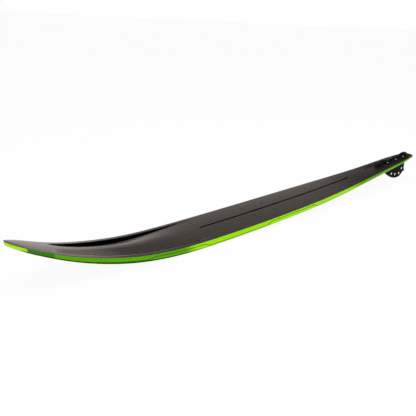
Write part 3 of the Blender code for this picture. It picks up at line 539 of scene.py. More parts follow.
@dataclass(frozen=True)
class BaseFinish:
    """Gloss green laminate with thin dark lines along its side and its running surface."""

    green: GreenPaint = GreenPaint()
    # Darker green: random clouds of tone, and painted shade on the forebody's lower bevel.
    shade: Colour = (0.008, 0.050, 0.000)
    ink: Colour = (0.012, 0.030, 0.001)
    cloud_scale: Triple = (3.0, 12.0, 12.0)
    cloud_contrast: Span = (0.25, 0.75)
    cloud_share: float = 0.12
    scuff_scale: Triple = (9.0, 160.0, 160.0)
    scuff_contrast: Span = (0.55, 0.80)
    fine: float = 700.0
    roughness: float = 0.22
    scuff_roughness: float = 0.14
    fine_roughness: float = 0.04
    relief: float = 0.00005
    specular: float = 0.10
    under: float = 0.001
    # Painted shade on the forebody's lower bevel, which faces down.
    shaded_edge: Span = (0.42, 0.33)
    shaded_start: Span = (1.15, 1.30)
    shaded_end: Span = (1.69, 1.67)
    shaded_share: float = 0.97
    shaded_roughness: float = 0.4
    line_steps: Points = (
        (0.26, 0.30), (0.47, -0.26), (0.70, 0.34), (0.93, -0.32), (1.18, 0.28), (1.36, -0.24),
    )
    line_start: float = 0.34
    line_half: float = 0.035
    line_reach: Span = (0.12, 1.52)
    step_run: float = 0.022
    twin_side: float = 0.62
    twin_half: float = 0.016
    twin_reach: Span = (0.30, 1.40)

    def build(self) -> bpy.types.Material:
        """Makes the material.

        Returns:
            The material.
        """
        graph = Graph(bpy.data.materials.new("base_laminate_gloss"))
        along, up = graph.attribute("along"), graph.attribute("up")
        cloud = graph.noise(graph.place(SKI_FRAME, self.cloud_scale), 1.0, detail=3.0)
        clouded = cloud.step(*self.cloud_contrast) * self.cloud_share
        base = graph.mix(clouded, self.green.tone(graph, along), self.shade)
        base = graph.mix(self._lines(graph, along, up), base, self.ink)
        fine = graph.noise(graph.place(SKI_FRAME), self.fine)
        scuff = graph.noise(graph.place(SKI_FRAME, self.scuff_scale), 1.0, detail=3.0)
        rough = self.roughness + scuff.step(*self.scuff_contrast) * self.scuff_roughness
        rough = rough + (fine - 0.5) * self.fine_roughness
        normal = graph.bump(fine * 0.5 + scuff * 0.5, self.relief, strength=0.35)
        gloss = graph.shader(
            Base_Color=base, Roughness=rough, Normal=normal, Specular_IOR_Level=self.specular
        )
        # Painted shade: dark green without reflection on the forebody's lower bevel.
        edge_shade = graph.shader(
            Base_Color=graph.mix(self.shaded_share, base, self.shade),
            Roughness=rough + self.shaded_roughness,
            Normal=normal,
            Specular_IOR_Level=0.0,
        )
        low = up.step(*self.shaded_edge) * (up > self.under)
        low = low * along.step(*self.shaded_start) * along.step(*self.shaded_end)
        return graph.blend(low, gloss, edge_shade)

    def _lines(self, graph: Graph, along: Wire, up: Wire) -> Wire:
        """1 on the stepped line of the side and on the two lines underneath.

        Args:
            graph: the material's graph.
            along: the place along the ski.
            up: the height on the side, 0 underneath.

        Returns:
            The share of ink.
        """
        line: Value = self.line_start
        for place, rise in self.line_steps:
            line = along.step(place, place + self.step_run) * rise + line
        hair = up.near(line, self.line_half) * along.within(*self.line_reach)
        twin = abs(graph.attribute("side")).near(self.twin_side, self.twin_half)
        twin = twin * (up < self.under) * along.within(*self.twin_reach)
        return graph.maths("MAXIMUM", hair, twin)


@dataclass(frozen=True)
class AnodisedFinish:
    """Black anodised aluminium, bead blasted, a little paler where it is rubbed."""

    name: str
    colour: Colour = (0.0022, 0.0022, 0.0024)
    rubbed: Colour = (0.0075, 0.0075, 0.0080)
    roughness: float = 0.38
    specular: float = 0.12
    grain: float = 1800.0
    wear_scale: Triple = (30.0, 140.0, 90.0)
    wear_contrast: Span = (0.52, 0.78)
    wear_roughness: float = 0.18
    grain_roughness: float = 0.06
    relief: float = 0.00004
    ticks: bool = False
    tick_pitch: float = 0.005
    tick_place: float = 0.0161
    tick_half: float = 0.0011
    tick_share: float = 0.05
    tick_floor: float = 0.0064
    engraved: Colour = (0.110, 0.110, 0.115)

    def build(self) -> bpy.types.Material:
        """Makes the material.

        Returns:
            The material.
        """
        graph = Graph(bpy.data.materials.new(self.name))
        blast = graph.noise(graph.place(BOX_FRAME), self.grain)
        wear = graph.noise(graph.place(BOX_FRAME, self.wear_scale), 1.0, detail=4.0, rough=0.6)
        base = graph.mix(wear.step(*self.wear_contrast), self.colour, self.rubbed)
        if self.ticks:
            base = graph.mix(self._ticks(graph), base, self.engraved)
        rough = self.roughness + (wear - 0.5) * self.wear_roughness
        rough = rough + (blast - 0.5) * self.grain_roughness
        normal = graph.bump(blast, self.relief, strength=0.5)
        return graph.finish(
            Base_Color=base, Roughness=rough, Normal=normal, Specular_IOR_Level=self.specular
        )

    def _ticks(self, graph: Graph) -> Wire:
        """1 on the short engraved ticks along the rails' tops.

        Args:
            graph: the material's graph.

        Returns:
            The share of engraving.
        """
        point = graph.place(BOX_FRAME)
        step = graph.maths("FRACT", graph.split(point, "X") * (1 / self.tick_pitch))
        mark = step.near(0.5, self.tick_share) * (graph.split(point, "Z") > self.tick_floor)
        return mark * abs(graph.split(point, "Y")).near(self.tick_place, self.tick_half)


@dataclass(frozen=True)
class SteelFinish:
    """Stainless or blackened steel with faint turned rings about the piece's own axis."""

    name: str
    colour: Colour = (0.62, 0.61, 0.59)
    stained: Colour = (0.40, 0.39, 0.37)
    roughness: float = 0.24
    metal: float = 1.0
    turns: float = 900.0
    turn_roughness: float = 0.05
    stain: float = 260.0
    stain_contrast: Span = (0.50, 0.85)
    stain_share: float = 0.7
    stain_roughness: float = 0.12
    relief: float = 0.00002

    def build(self) -> bpy.types.Material:
        """Makes the material.

        Returns:
            The material.
        """
        graph = Graph(bpy.data.materials.new(self.name))
        rings = {"Vector": graph.place(), "Scale": self.turns, "Distortion": 0.6, "Detail": 1.0}
        settings = {"wave_type": "RINGS", "rings_direction": "Z"}
        turned = graph.add("ShaderNodeTexWave", settings, rings, "Fac")
        stain = graph.noise(graph.place(), self.stain, detail=4.0, rough=0.6)
        share = stain.step(*self.stain_contrast) * self.stain_share
        base = graph.mix(share, self.colour, self.stained)
        rough = self.roughness + stain * self.stain_roughness + turned * self.turn_roughness
        normal = graph.bump(turned, self.relief, strength=0.4)
        return graph.finish(Base_Color=base, Roughness=rough, Metallic=self.metal, Normal=normal)


@dataclass(frozen=True)
class RubberFinish:
    """Matt black rubber sheet with a fine pressed texture."""

    colour: Colour = (0.026, 0.024, 0.023)
    dusty: Colour = (0.042, 0.039, 0.037)
    dust: float = 120.0
    dust_contrast: Span = (0.45, 0.80)
    press: float = 1100.0
    relief: float = 0.00008
    roughness: float = 0.72
    dust_roughness: float = 0.15

    def build(self) -> bpy.types.Material:
        """Makes the material.

        Returns:
            The material.
        """
        graph = Graph(bpy.data.materials.new("black_rubber_sheet"))
        cells = {"Vector": graph.place(BOX_FRAME), "Scale": self.press}
        press = graph.add("ShaderNodeTexVoronoi", None, cells, "Distance")
        dust = graph.noise(graph.place(BOX_FRAME), self.dust, detail=4.0)
        base = graph.mix(dust.step(*self.dust_contrast), self.colour, self.dusty)
        rough = self.roughness + dust * self.dust_roughness
        normal = graph.bump(press, self.relief, strength=0.6)
        return graph.finish(Base_Color=base, Roughness=rough, Normal=normal)


@dataclass(frozen=True)
class FoamFinish:
    """Pale closed-cell foam of the core."""

    colour: Colour = (0.62, 0.56, 0.42)
    cell: Colour = (0.46, 0.40, 0.29)
    cells: float = 900.0
    cell_share: float = 0.8
    cloud: float = 40.0
    cloud_share: float = 0.2
    relief: float = 0.0003
    roughness: float = 0.80
    cloud_roughness: float = 0.12

    def build(self) -> bpy.types.Material:
        """Makes the material.

        Returns:
            The material.
        """
        graph = Graph(bpy.data.materials.new("core_foam"))
        cells = {"Vector": graph.place(SKI_FRAME), "Scale": self.cells}
        wall = graph.add("ShaderNodeTexVoronoi", {"feature": "F1"}, cells, "Distance")
        cloud = graph.noise(graph.place(SKI_FRAME), self.cloud, detail=3.0)
        share = wall * self.cell_share + cloud * self.cloud_share
        base = graph.mix(share, self.cell, self.colour)
        rough = self.roughness + cloud * self.cloud_roughness
        normal = graph.bump(wall, self.relief, strength=0.7)
        return graph.finish(Base_Color=base, Roughness=rough, Normal=normal)


# The ski's lines


class Spline:
    """A natural cubic curve through (x, value) points."""

    def __init__(self, points: Points, scale: float = 1.0) -> None:
        """Works out how the curve bends at each point.

        Args:
            points: (x, value) points in order.
            scale: a factor for every x.
        """
        self.x = numpy.array([x for x, _ in points]) * scale
        self.y = numpy.array([value for _, value in points])
        step = numpy.diff(self.x)
        count = len(points)
        matrix = numpy.eye(count)
        bend = numpy.zeros(count)
        for i in range(1, count - 1):
            matrix[i, i - 1 : i + 2] = step[i - 1], 2 * (step[i - 1] + step[i]), step[i]
            rise = (self.y[i + 1] - self.y[i]) / step[i]
            bend[i] = 6 * (rise - (self.y[i] - self.y[i - 1]) / step[i - 1])
        self.bend = numpy.linalg.solve(matrix, bend)

    def at(self, x: float) -> float:
        """Reads the curve.

        Args:
            x: where to read it.

        Returns:
            The curve's value.
        """
        i = int(numpy.clip(numpy.searchsorted(self.x, x) - 1, 0, len(self.x) - 2))
        step = self.x[i + 1] - self.x[i]
        a = (self.x[i + 1] - x) / step
        b = 1 - a
        curved = (a**3 - a) * self.bend[i] + (b**3 - b) * self.bend[i + 1]
        return float(a * self.y[i] + b * self.y[i + 1] + curved * step**2 / 6)


def smooth_step(share: float) -> float:
    """0 to 1 with level ends, as share goes from 0 to 1."""
    share = min(max(share, 0.0), 1.0)
    return share * share * (3 - 2 * share)


@dataclass
class SkiLines:
    """The ski's shape along its length, the same as in the part's source."""

    length: float = 1.708
    half_widths: Points = (
        (0.00, 0.0245), (0.03, 0.0325), (0.06, 0.0389), (0.12, 0.0464), (0.20, 0.0552),
        (0.30, 0.0690), (0.42, 0.0812), (0.55, 0.0867), (0.65, 0.0880), (0.75, 0.0852),
        (0.83, 0.0750), (0.89, 0.0607), (0.95, 0.0404), (1.00, 0.0250),
    )
    rocker: Points = (
        (0.00, 0.0238), (0.08, 0.0163), (0.18, 0.0075), (0.28, 0.0023), (0.41, 0.0000),
        (0.53, 0.0024), (0.65, 0.0082), (0.735, 0.0160), (0.82, 0.0352), (0.88, 0.0630),
        (0.94, 0.1050), (1.00, 0.1640),
    )
    thickness: Points = (
        (0.00, 0.0098), (0.10, 0.0122), (0.20, 0.0150), (0.30, 0.0168), (0.45, 0.0192),
        (0.60, 0.0206), (0.70, 0.0210), (0.80, 0.0202), (0.88, 0.0180), (0.95, 0.0138),
        (1.00, 0.0096),
    )
    tunnel: Points = (
        (0.00, 0.0008), (0.15, 0.0020), (0.45, 0.0035), (0.75, 0.0030), (1.00, 0.0004),
    )
    seat_end: float = 0.2466
    tail_rounding: float = 0.012
    tip_rounding: float = 0.055
    last_angle: float = math.radians(80)
    deck_inset: float = 0.32
    bevel_share: float = 0.35
    crown: float = 0.0025
    crown_run: float = 0.160
    skin: float = 0.0030
    joint_gap: float = 0.0003
    base_skin: float = 0.0020
    side_wall: float = 0.0060
    wall_draft: float = 0.001
    flat_share: float = 0.25
    flat_places: tuple[float, ...] = (0.0, 0.2, 0.4, 0.6, 0.8, 0.95, 1.0)
    base_round: float = 0.0016
    rail_round: float = 0.0018
    tunnel_break: float = 0.6
    cavity_start: float = 0.010
    cavity_ramp: float = 0.016
    rim_width: float = 0.013
    least_rim: float = 0.6
    cup_rear: float = 1.126
    cup_deepest: float = 1.466
    cup_front: float = 1.611
    cup_depth: float = 0.0078
    cup_fall: float = 1.3
    wall_run: float = 2.0
    wall_least: float = 0.003
    wall_bend: float = 0.48
    crest_half: float = 0.004
    groove_rear: float = 0.432
    groove_front: float = 1.142
    groove_depth: float = 0.0016
    groove_half: float = 0.003
    groove_profile: Points = ((0.0, 1.0), (0.6, 0.92), (0.9, 0.5), (1.0, 0.0))
    groove_run_out: float = 0.020
    notch_rear: float = 0.2413
    notch_front: float = 0.2946
    notch_side: float = -0.0187
    notch_wide: float = 0.0022
    notch_narrow: float = 0.0006

    def __post_init__(self) -> None:
        """Makes the curves and the flat seat."""
        self.width_curve = Spline(self.half_widths, self.length)
        self.rocker_curve = Spline(self.rocker, self.length)
        self.thickness_curve = Spline(self.thickness, self.length)
        self.tunnel_curve = Spline(self.tunnel, self.length)
        near = self.joint_gap
        rise = self.top(self.seat_end + near) - self.top(self.seat_end - near)
        self.seat_slope = rise / (2 * near)

    def top(self, x: float) -> float:
        """Height of the deck's edge before the seat is made flat."""
        return self.rocker_curve.at(x) + self.thickness_curve.at(x)

    def edge(self, x: float) -> float:
        """Height of the deck's edge: a straight line over the fin box's seat.

        Args:
            x: the place along the ski.

        Returns:
            The height above the base under the rider.
        """
        if x < self.seat_end:
            return self.top(self.seat_end) - self.seat_slope * (self.seat_end - x)
        return self.top(x)

    def end_share(self, x: float) -> float:
        """How much of its half width the ski keeps near its round ends.

        Args:
            x: the place along the ski.

        Returns:
            The share, 1 away from the ends.
        """
        tail = (self.tail_rounding - x) / self.tail_rounding
        tip = (x - self.length + self.tip_rounding) / self.tip_rounding
        into = min(max(tail, tip, 0.0), 1.0)
        return math.cos(math.asin(into * math.sin(self.last_angle)))

    def cup(self, x: float) -> float:
        """Depth of the two hollows of the forebody.

        Args:
            x: the place along the ski.

        Returns:
            The depth at the walls' feet.
        """
        if x <= self.cup_deepest:
            share = smooth_step((x - self.cup_rear) / (self.cup_deepest - self.cup_rear))
        else:
            into = (x - self.cup_deepest) / (self.cup_front - self.cup_deepest)
            share = max(0.0, 1 - into**2)
        return self.cup_depth * share

    def groove(self, x: float) -> tuple[float, float]:
        """(half width, depth) of the groove along the deck's centre."""
        inside = min(x - self.groove_rear, self.groove_front - x)
        return self.groove_half, self.groove_depth * smooth_step(inside / self.groove_run_out)


@dataclass
class Knot:
    """One point of a section: place across and up, and what the finishes read there."""

    side: float
    height: float
    marks: dict[str, float] = field(default_factory=dict)


@dataclass
class Cut:
    """The ski's cross-section at one place along it, as half outlines."""

    lines: SkiLines
    x: float
    hollow_points: int = 9
    wall_points: int = 6
    land_points: int = 3

    def __post_init__(self) -> None:
        """Reads the lines at this place."""
        lines, x = self.lines, self.x
        self.base = lines.rocker_curve.at(x)
        self.edge = lines.edge(x)
        self.deep = self.edge - self.base
        self.half = lines.width_curve.at(x)
        self.deck_half = self.half - lines.deck_inset * self.deep
        self.crown = lines.crown * smooth_step((x - lines.seat_end) / lines.crown_run)
        self.hollow = lines.cup(x)

    def crowned(self, side: float) -> float:
        """Height of the plain crowned deck at a distance from the centre."""
        return self.edge + self.crown * (1 - (side / self.deck_half) ** 2)

    def side_at(self, drop: float) -> float:
        """Half width of the leaning side at a drop below the deck's edge."""
        lines = self.lines
        return self.deck_half + lines.deck_inset / (1 - lines.bevel_share) * drop

    def deck_top(self) -> list[Knot]:
        """The deck's top from its centre to its edge.

        Returns:
            The knots of the groove, the hollow, its wall and the land beside it.
        """
        lines = self.lines
        half, depth = lines.groove(self.x)
        rim = max(self.deck_half - lines.rim_width, lines.least_rim * self.deck_half)
        low = rim - lines.wall_least - lines.wall_run * self.hollow
        start = lines.crest_half + half
        knots = []
        for share, drop in lines.groove_profile:
            side = half * share
            knots.append(Knot(side, self.crowned(side) - depth * drop))
        for i in range(self.hollow_points):
            share = i / (self.hollow_points - 1)
            side = start + (low - start) * share
            height = self.crowned(side) - self.hollow * share**lines.cup_fall
            knots.append(Knot(side, height, {"hollow": self.hollow}))
        for i in range(1, self.wall_points + 1):
            share = i / self.wall_points
            side = low + (rim - low) * share
            lift = (1 - lines.wall_bend) * share + lines.wall_bend * share**2 - 1
            marks = {"hollow": self.hollow, "wall": share}
            knots.append(Knot(side, self.crowned(side) + lift * self.hollow, marks))
        for i in range(1, self.land_points + 1):
            share = i / self.land_points
            side = rim + (self.deck_half - rim) * share
            knots.append(Knot(side, self.crowned(side), {"hollow": self.hollow, "wall": 1.0}))
        return knots

    def underside(self) -> list[Knot]:
        """The deck skin's underside, from the centre out.

        Returns:
            The knots, under a few of the top's: two on the crest's side, then the
            hollow's lowest, the wall's highest and the edge.
        """
        top = self.deck_top()
        lines = self.lines
        crest = len(lines.groove_profile)
        wall = crest + self.hollow_points
        picked = (crest + 1, wall - 4, wall - 1, wall + self.wall_points - 1)
        knots = [Knot(0.0, self.crowned(0.0) - lines.skin)]
        knots += [Knot(top[i].side, top[i].height - lines.skin) for i in picked]
        corner = self.side_at(lines.skin), self.edge - lines.skin
        return knots + [Knot(*corner, {"skirt": 1.0, "wall": 1.0})]

    def outside(self) -> list[Knot]:
        """The outside below the deck, from the centre of the base up the side.

        Returns:
            The knots, with their height on the side and their place across the base.
        """
        lines = self.lines
        bevel = lines.bevel_share * self.deep
        rail = self.half - bevel
        flat = rail - lines.flat_share * bevel
        tunnel = lines.tunnel_curve.at(self.x)
        corners = []
        for share in lines.flat_places:
            corners.append((flat * share, self.base + tunnel * (1 - share**2)))
        low, wide = (rail, self.base), (self.half, self.base + bevel)
        drop = lines.skin + lines.joint_gap
        upper = (self.side_at(drop), self.edge - drop)
        corners += rounded(low, corners[-1], wide, lines.base_round)
        corners += rounded(wide, low, upper, lines.rail_round)
        corners.append(upper)
        knots = []
        for side, height in corners:
            marks = {"up": (height - self.base) / self.deep, "side": side / flat}
            if side < flat:
                marks["up"] = 0.0
            knots.append(Knot(side, height, marks))
        return knots

    def inside(self) -> list[Knot]:
        """The tray's floor and the top of its wall, on the inside.

        Returns:
            The knots, from the centre out.
        """
        lines = self.lines
        from_end = min(self.x, lines.length - self.x)
        ramp = min(max((from_end - lines.cavity_start) / lines.cavity_ramp, 0.0), 1.0)
        under = self.underside()
        sides, heights = [k.side for k in under], [k.height for k in under]
        low = self.outside()[: len(lines.flat_places) + 1]
        low_sides, low_heights = [k.side for k in low], [k.height for k in low]
        rail = self.half - lines.bevel_share * self.deep
        wall = rail - lines.side_wall
        knots = []
        for side in (0.0, lines.tunnel_break * wall, wall - lines.wall_draft):
            high = float(numpy.interp(side, sides, heights)) - lines.joint_gap
            floor = float(numpy.interp(side, low_sides, low_heights)) + lines.base_skin
            knots.append(Knot(side, high + (floor - high) * ramp))
        roof = float(numpy.interp(wall, sides, heights)) - lines.joint_gap
        return knots + [Knot(wall, roof)]


def rounded(
    corner: tuple[float, float],
    before: tuple[float, float],
    after: tuple[float, float],
    reach: float,
    steps: int = 4,
) -> list[tuple[float, float]]:
    """Points of a round that stands in for a corner of an outline.

    Args:
        corner: the corner itself.
        before: the outline's point before it.
        after: the point after it.
        reach: how far along each edge the round starts, at most half the edge.
        steps: how many pieces the round has.

    Returns:
        The round's points, in order.
    """
    point, start, end = Vector(corner), Vector(before), Vector(after)
    back, ahead = start - point, end - point
    first = point + back * min(reach / back.length, 0.5)
    last = point + ahead * min(reach / ahead.length, 0.5)
    found = []
    for i in range(steps + 1):
        share = i / steps
        place = first * (1 - share) ** 2 + point * (2 * share * (1 - share)) + last * share**2
        found.append((place.x, place.y))
    return found


# Meshes


LOFT_ANGLE = math.radians(32)
TURNED_ANGLE = math.radians(35)
EASED_ANGLE = math.radians(28)
PLAIN_ANGLE = math.radians(1)
JOIN_REACH = 0.00001


def shade(mesh: bpy.types.Mesh, angle: float) -> None:
    """Shades a mesh smooth, with an edge where two faces turn by more than the angle."""
    mesh.shade_smooth()
    mesh.set_sharp_from_angle(angle=angle)


def linked(name: str, mesh: bpy.types.Mesh, place: Matrix | None = None) -> bpy.types.Object:
    """Puts a mesh in the scene as a piece.

    Args:
        name: the piece's name.
        mesh: its mesh, which other pieces may share.
        place: its place, or None for the origin.

    Returns:
        The piece.
    """
    piece = bpy.data.objects.new(name, mesh)
    bpy.context.scene.collection.objects.link(piece)
    if place is not None:
        piece.matrix_world = place
    return piece


def closed(name: str, shape: bmesh.types.BMesh) -> bpy.types.Mesh:
    """Turns a closed shape's faces outwards, and keeps it as a mesh.

    Args:
        name: the mesh's name.
        shape: the shape, which is freed.

    Returns:
        The mesh.
    """
    bmesh.ops.recalc_face_normals(shape, faces=shape.faces)
    mesh = bpy.data.meshes.new(name)
    shape.to_mesh(mesh)
    shape.free()
    return mesh


def settle(piece: bpy.types.Object, cutters: Sequence[bpy.types.Object]) -> None:
    """Cuts a piece and keeps the result as its mesh.

    Args:
        piece: the piece to cut.
        cutters: closed shapes to take out of it.
    """
    for tool in cutters:
        change = piece.modifiers.new(tool.name, "BOOLEAN")
        change.object = tool
        change.operation = "DIFFERENCE"
        change.solver = "EXACT"
    graph = bpy.context.evaluated_depsgraph_get()
    mesh = bpy.data.meshes.new_from_object(piece.evaluated_get(graph))
    mesh.name = piece.name
    piece.modifiers.clear()
    piece.data = mesh


@dataclass
class Loft:
    """A closed skin through sections of the ski, with marks at its points."""

    name: str
    lines: SkiLines
    marks: tuple[str, ...]
    section: Callable[[Cut], tuple[list[Knot], list[Knot]]]
    step: float = 0.009
    least_step: float = 0.0004
    end_steps: int = 14

    def stations(self) -> list[float]:
        """Places along the ski, closer in its round ends.

        Returns:
            The places in order, no two of them closer than the least step.
        """
        lines = self.lines
        full = math.sin(lines.last_angle)
        angles = [lines.last_angle * i / self.end_steps for i in range(self.end_steps + 1)]
        into = [1 - math.sin(angle) / full for angle in reversed(angles)]
        middle = lines.length - lines.tail_rounding - lines.tip_rounding
        count = round(middle / self.step)
        body = [lines.tail_rounding + middle * i / count for i in range(1, count)]
        extra = [lines.seat_end, lines.cup_front, lines.groove_rear, lines.groove_front]
        extra += [lines.cavity_start, lines.cavity_start + lines.cavity_ramp]
        places = [lines.tail_rounding * share for share in into] + body + extra
        places = sorted(places + [lines.length - lines.tip_rounding * share for share in into])
        kept = [places[0]]
        for place in places[1:]:
            if place - kept[-1] > self.least_step:
                kept.append(place)
        return kept

    def build(self) -> bpy.types.Object:
        """Makes the mesh in the ski's frame, and stands it in the part's.

        Returns:
            The piece.
        """
        rings = []
        for x in self.stations():
            cut = Cut(self.lines, x)
            keep = self.lines.end_share(x)
            upper, lower = (self._mirrored(half) for half in self.section(cut))
            rings.append([(x, knot.side * keep, knot) for knot in upper + lower[::-1]])
        placed = [point for ring in rings for point in ring]
        points = [SKI_FRAME @ Vector((x, side, knot.height)) for x, side, knot in placed]
        size = len(rings[0])
        faces = []
        for r in range(len(rings) - 1):
            for i in range(size):
                j = (i + 1) % size
                faces.append((r * size + i, (r + 1) * size + i, (r + 1) * size + j, r * size + j))
        for ring, turn in ((0, 1), (len(rings) - 1, -1)):
            own = range(ring * size, ring * size + size)
            points.append(sum((points[i] for i in own), Vector()) / size)
            centre = len(points) - 1
            for i in range(size):
                face = (own[i], own[(i + 1) % size], centre)
                faces.append(face[::turn])
        mesh = bpy.data.meshes.new(self.name)
        mesh.from_pydata(points, [], faces)
        self._mark(mesh, rings)
        return linked(self.name, mesh)

    @staticmethod
    def _mirrored(half: list[Knot]) -> list[Knot]:
        """A full line of knots from its half on the left side."""
        other = [Knot(-knot.side, knot.height, knot.marks) for knot in reversed(half[1:])]
        return other + half

    def _mark(self, mesh: bpy.types.Mesh, rings: list[list[tuple[float, float, Knot]]]) -> None:
        """Keeps each mark of the knots as a number at the mesh's points.

        Args:
            mesh: the mesh.
            rings: (x, side, knot) of each of its points, ring by ring.
        """
        for name in self.marks:
            values = []
            for ring in rings:
                for x, _, knot in ring:
                    values.append(x if name == "along" else knot.marks.get(name, 0.0))
            for ring in (rings[0], rings[-1]):
                values.append(ring[0][0] if name == "along" else 0.0)
            layer = mesh.attributes.new(name, "FLOAT", "POINT")
            layer.data.foreach_set("value", values)


def prism(name: str, outline: Points, low: float, high: float, place: Matrix) -> bpy.types.Object:
    """A closed prism on an outline, along the third axis of a frame.

    Args:
        name: the piece's name.
        outline: (x, y) points in the frame.
        low: where it starts on the frame's Z.
        high: where it ends.
        place: the frame.

    Returns:
        The piece.
    """
    shape = bmesh.new()
    rings = [[shape.verts.new((x, y, z)) for x, y in outline] for z in (low, high)]
    for i in range(len(outline)):
        j = (i + 1) % len(outline)
        shape.faces.new((rings[0][i], rings[0][j], rings[1][j], rings[1][i]))
    shape.faces.new(rings[0][::-1])
    shape.faces.new(rings[1])
    return linked(name, closed(name, shape), place)


def plate(
    name: str, loops: Sequence[Points], low: float, high: float, place: Matrix
) -> bpy.types.Object:
    """A closed flat plate with holes, across the third axis of a frame.

    Args:
        name: the piece's name.
        loops: the outline of the plate, then the outline of each hole.
        low: where it starts on the frame's Z.
        high: where it ends.
        place: the frame.

    Returns:
        The piece.
    """
    flat = [[Vector((x, y, 0.0)) for x, y in loop] for loop in loops]
    shape = bmesh.new()
    ends = []
    for z in (low, high):
        corners = [place @ Vector((point.x, point.y, z)) for loop in flat for point in loop]
        ends.append([shape.verts.new(corner) for corner in corners])
    for corners in tessellate_polygon(flat):
        for end in ends:
            shape.faces.new([end[i] for i in corners])
    start = 0
    for loop in flat:
        for i in range(len(loop)):
            here, there = start + i, start + (i + 1) % len(loop)
            shape.faces.new((ends[0][here], ends[0][there], ends[1][there], ends[1][here]))
        start += len(loop)
    return linked(name, closed(name, shape))


def circle(centre: tuple[float, float], radius: float, sides: int = 32) -> Points:
    """Outline of a round hole."""
    turns = [2 * math.pi * i / sides for i in range(sides)]
    return [(centre[0] + radius * math.cos(a), centre[1] + radius * math.sin(a)) for a in turns]


def slot_outline(rear: float, front: float, half: float, steps: int = 8) -> Points:
    """Outline of a slot with round ends along X.

    Args:
        rear: where the slot starts.
        front: where it ends.
        half: half of its width.
        steps: how many pieces each round end has.

    Returns:
        The outline's points.
    """
    points = []
    for centre, start in ((front - half, -math.pi / 2), (rear + half, math.pi / 2)):
        for i in range(steps + 1):
            angle = start + math.pi * i / steps
            points.append((centre + half * math.cos(angle), half * math.sin(angle)))
    return points


@dataclass(frozen=True)
class Ring:
    """One ring of a turned piece, about its own Z."""

    radius: float
    height: float
    shape: RingShape = RingShape.ROUND


HEX_CORNER = math.pi / 3


def turned_mesh(name: str, rings: Sequence[Ring], sides: int = 36) -> bpy.types.Mesh:
    """A closed mesh through rings, which ends on the axis at both ends.

    Args:
        name: the mesh's name.
        rings: the rings between the two ends on the axis.
        sides: points of each ring, a multiple of 12.

    Returns:
        The mesh.
    """
    shape = bmesh.new()
    loops = []
    for ring in rings:
        loop = []
        for i in range(sides):
            angle = 2 * math.pi * i / sides
            reach = ring.radius
            if ring.shape is RingShape.HEX:
                reach /= math.cos((angle + HEX_CORNER / 2) % HEX_CORNER - HEX_CORNER / 2)
            corner = (reach * math.cos(angle), reach * math.sin(angle), ring.height)
            loop.append(shape.verts.new(corner))
        loops.append(loop)
    for first, second in zip(loops, loops[1:]):
        for i in range(sides):
            j = (i + 1) % sides
            shape.faces.new((first[i], first[j], second[j], second[i]))
    for loop in (loops[0], loops[-1]):
        middle = shape.verts.new((0.0, 0.0, loop[0].co.z))
        for i in range(sides):
            shape.faces.new((loop[i], loop[(i + 1) % sides], middle))
    mesh = closed(name, shape)
    shade(mesh, TURNED_ANGLE)
    return mesh


@dataclass(frozen=True)
class Thread:
    """A cut thread, as rings with a flat root and a flat crest for each turn."""

    pitch: float
    depth: float
    crest: Span = (0.46, 0.58)
    root: Span = (0.12, 0.92)

    def rings(self, radius: float, low: float, high: float) -> list[Ring]:
        """The thread's rings from its low end to its high end.

        Args:
            radius: the thread's outer radius.
            low: where it starts.
            high: where it ends.

        Returns:
            The rings.
        """
        inner = radius - self.depth
        corners = ((inner, self.root[0]), (radius, self.crest[0]))
        corners += ((radius, self.crest[1]), (inner, self.root[1]))
        count = int((high - low) / self.pitch)
        rings = [Ring(inner, low)]
        for i in range(count):
            start = high - (count - i) * self.pitch
            rings += [Ring(reach, start + share * self.pitch) for reach, share in corners]
        return rings


@dataclass(frozen=True)
class ButtonScrew:
    """A button head screw with a hex socket and a cut thread, its seat at the origin."""

    shank: float
    length: float
    head: float
    head_height: float
    socket: float
    socket_depth: float
    thread: Thread = Thread(0.0008, 0.0003)
    point: float = 0.72
    point_length: float = 0.0004
    neck: Span = (0.0016, 0.0012)
    under_head: float = 0.93
    head_round: float = 0.0002
    dome_steps: int = 6
    dome_turn: float = math.pi / 2 * 0.92
    dome_flat: float = 0.42
    dome_foot: float = 0.18
    rim: Span = (1.22, 1.18)
    rim_depth: Span = (0.0001, 0.0003)
    floor: float = 0.4

    def mesh(self, name: str) -> bpy.types.Mesh:
        """Makes the mesh, its shank down along -Z.

        Args:
            name: the mesh's name.

        Returns:
            The mesh.
        """
        rings = [Ring(self.shank * self.point, -self.length)]
        rings += self.thread.rings(self.shank, self.point_length - self.length, -self.neck[0])
        rings += [Ring(self.shank, -self.neck[1]), Ring(self.shank, 0.0)]
        rings += [Ring(self.head * self.under_head, 0.0), Ring(self.head, self.head_round)]
        dome = self.head_height
        for i in range(1, self.dome_steps + 1):
            angle = self.dome_turn * i / self.dome_steps
            reach = self.dome_flat + (1 - self.dome_flat) * math.cos(angle)
            rise = (1 - self.dome_foot) * math.sin(angle) / math.sin(self.dome_turn)
            rings.append(Ring(self.head * reach, dome * (self.dome_foot + rise)))
        floor = dome - self.socket_depth
        rings += [Ring(self.socket * self.rim[0], dome)]
        rings += [Ring(self.socket * self.rim[1], dome - self.rim_depth[0])]
        rings += [Ring(self.socket, dome - self.rim_depth[1], RingShape.HEX)]
        rings += [Ring(self.socket, floor, RingShape.HEX)]
        rings += [Ring(self.socket * self.floor, floor - self.rim_depth[1])]
        return turned_mesh(name, rings)


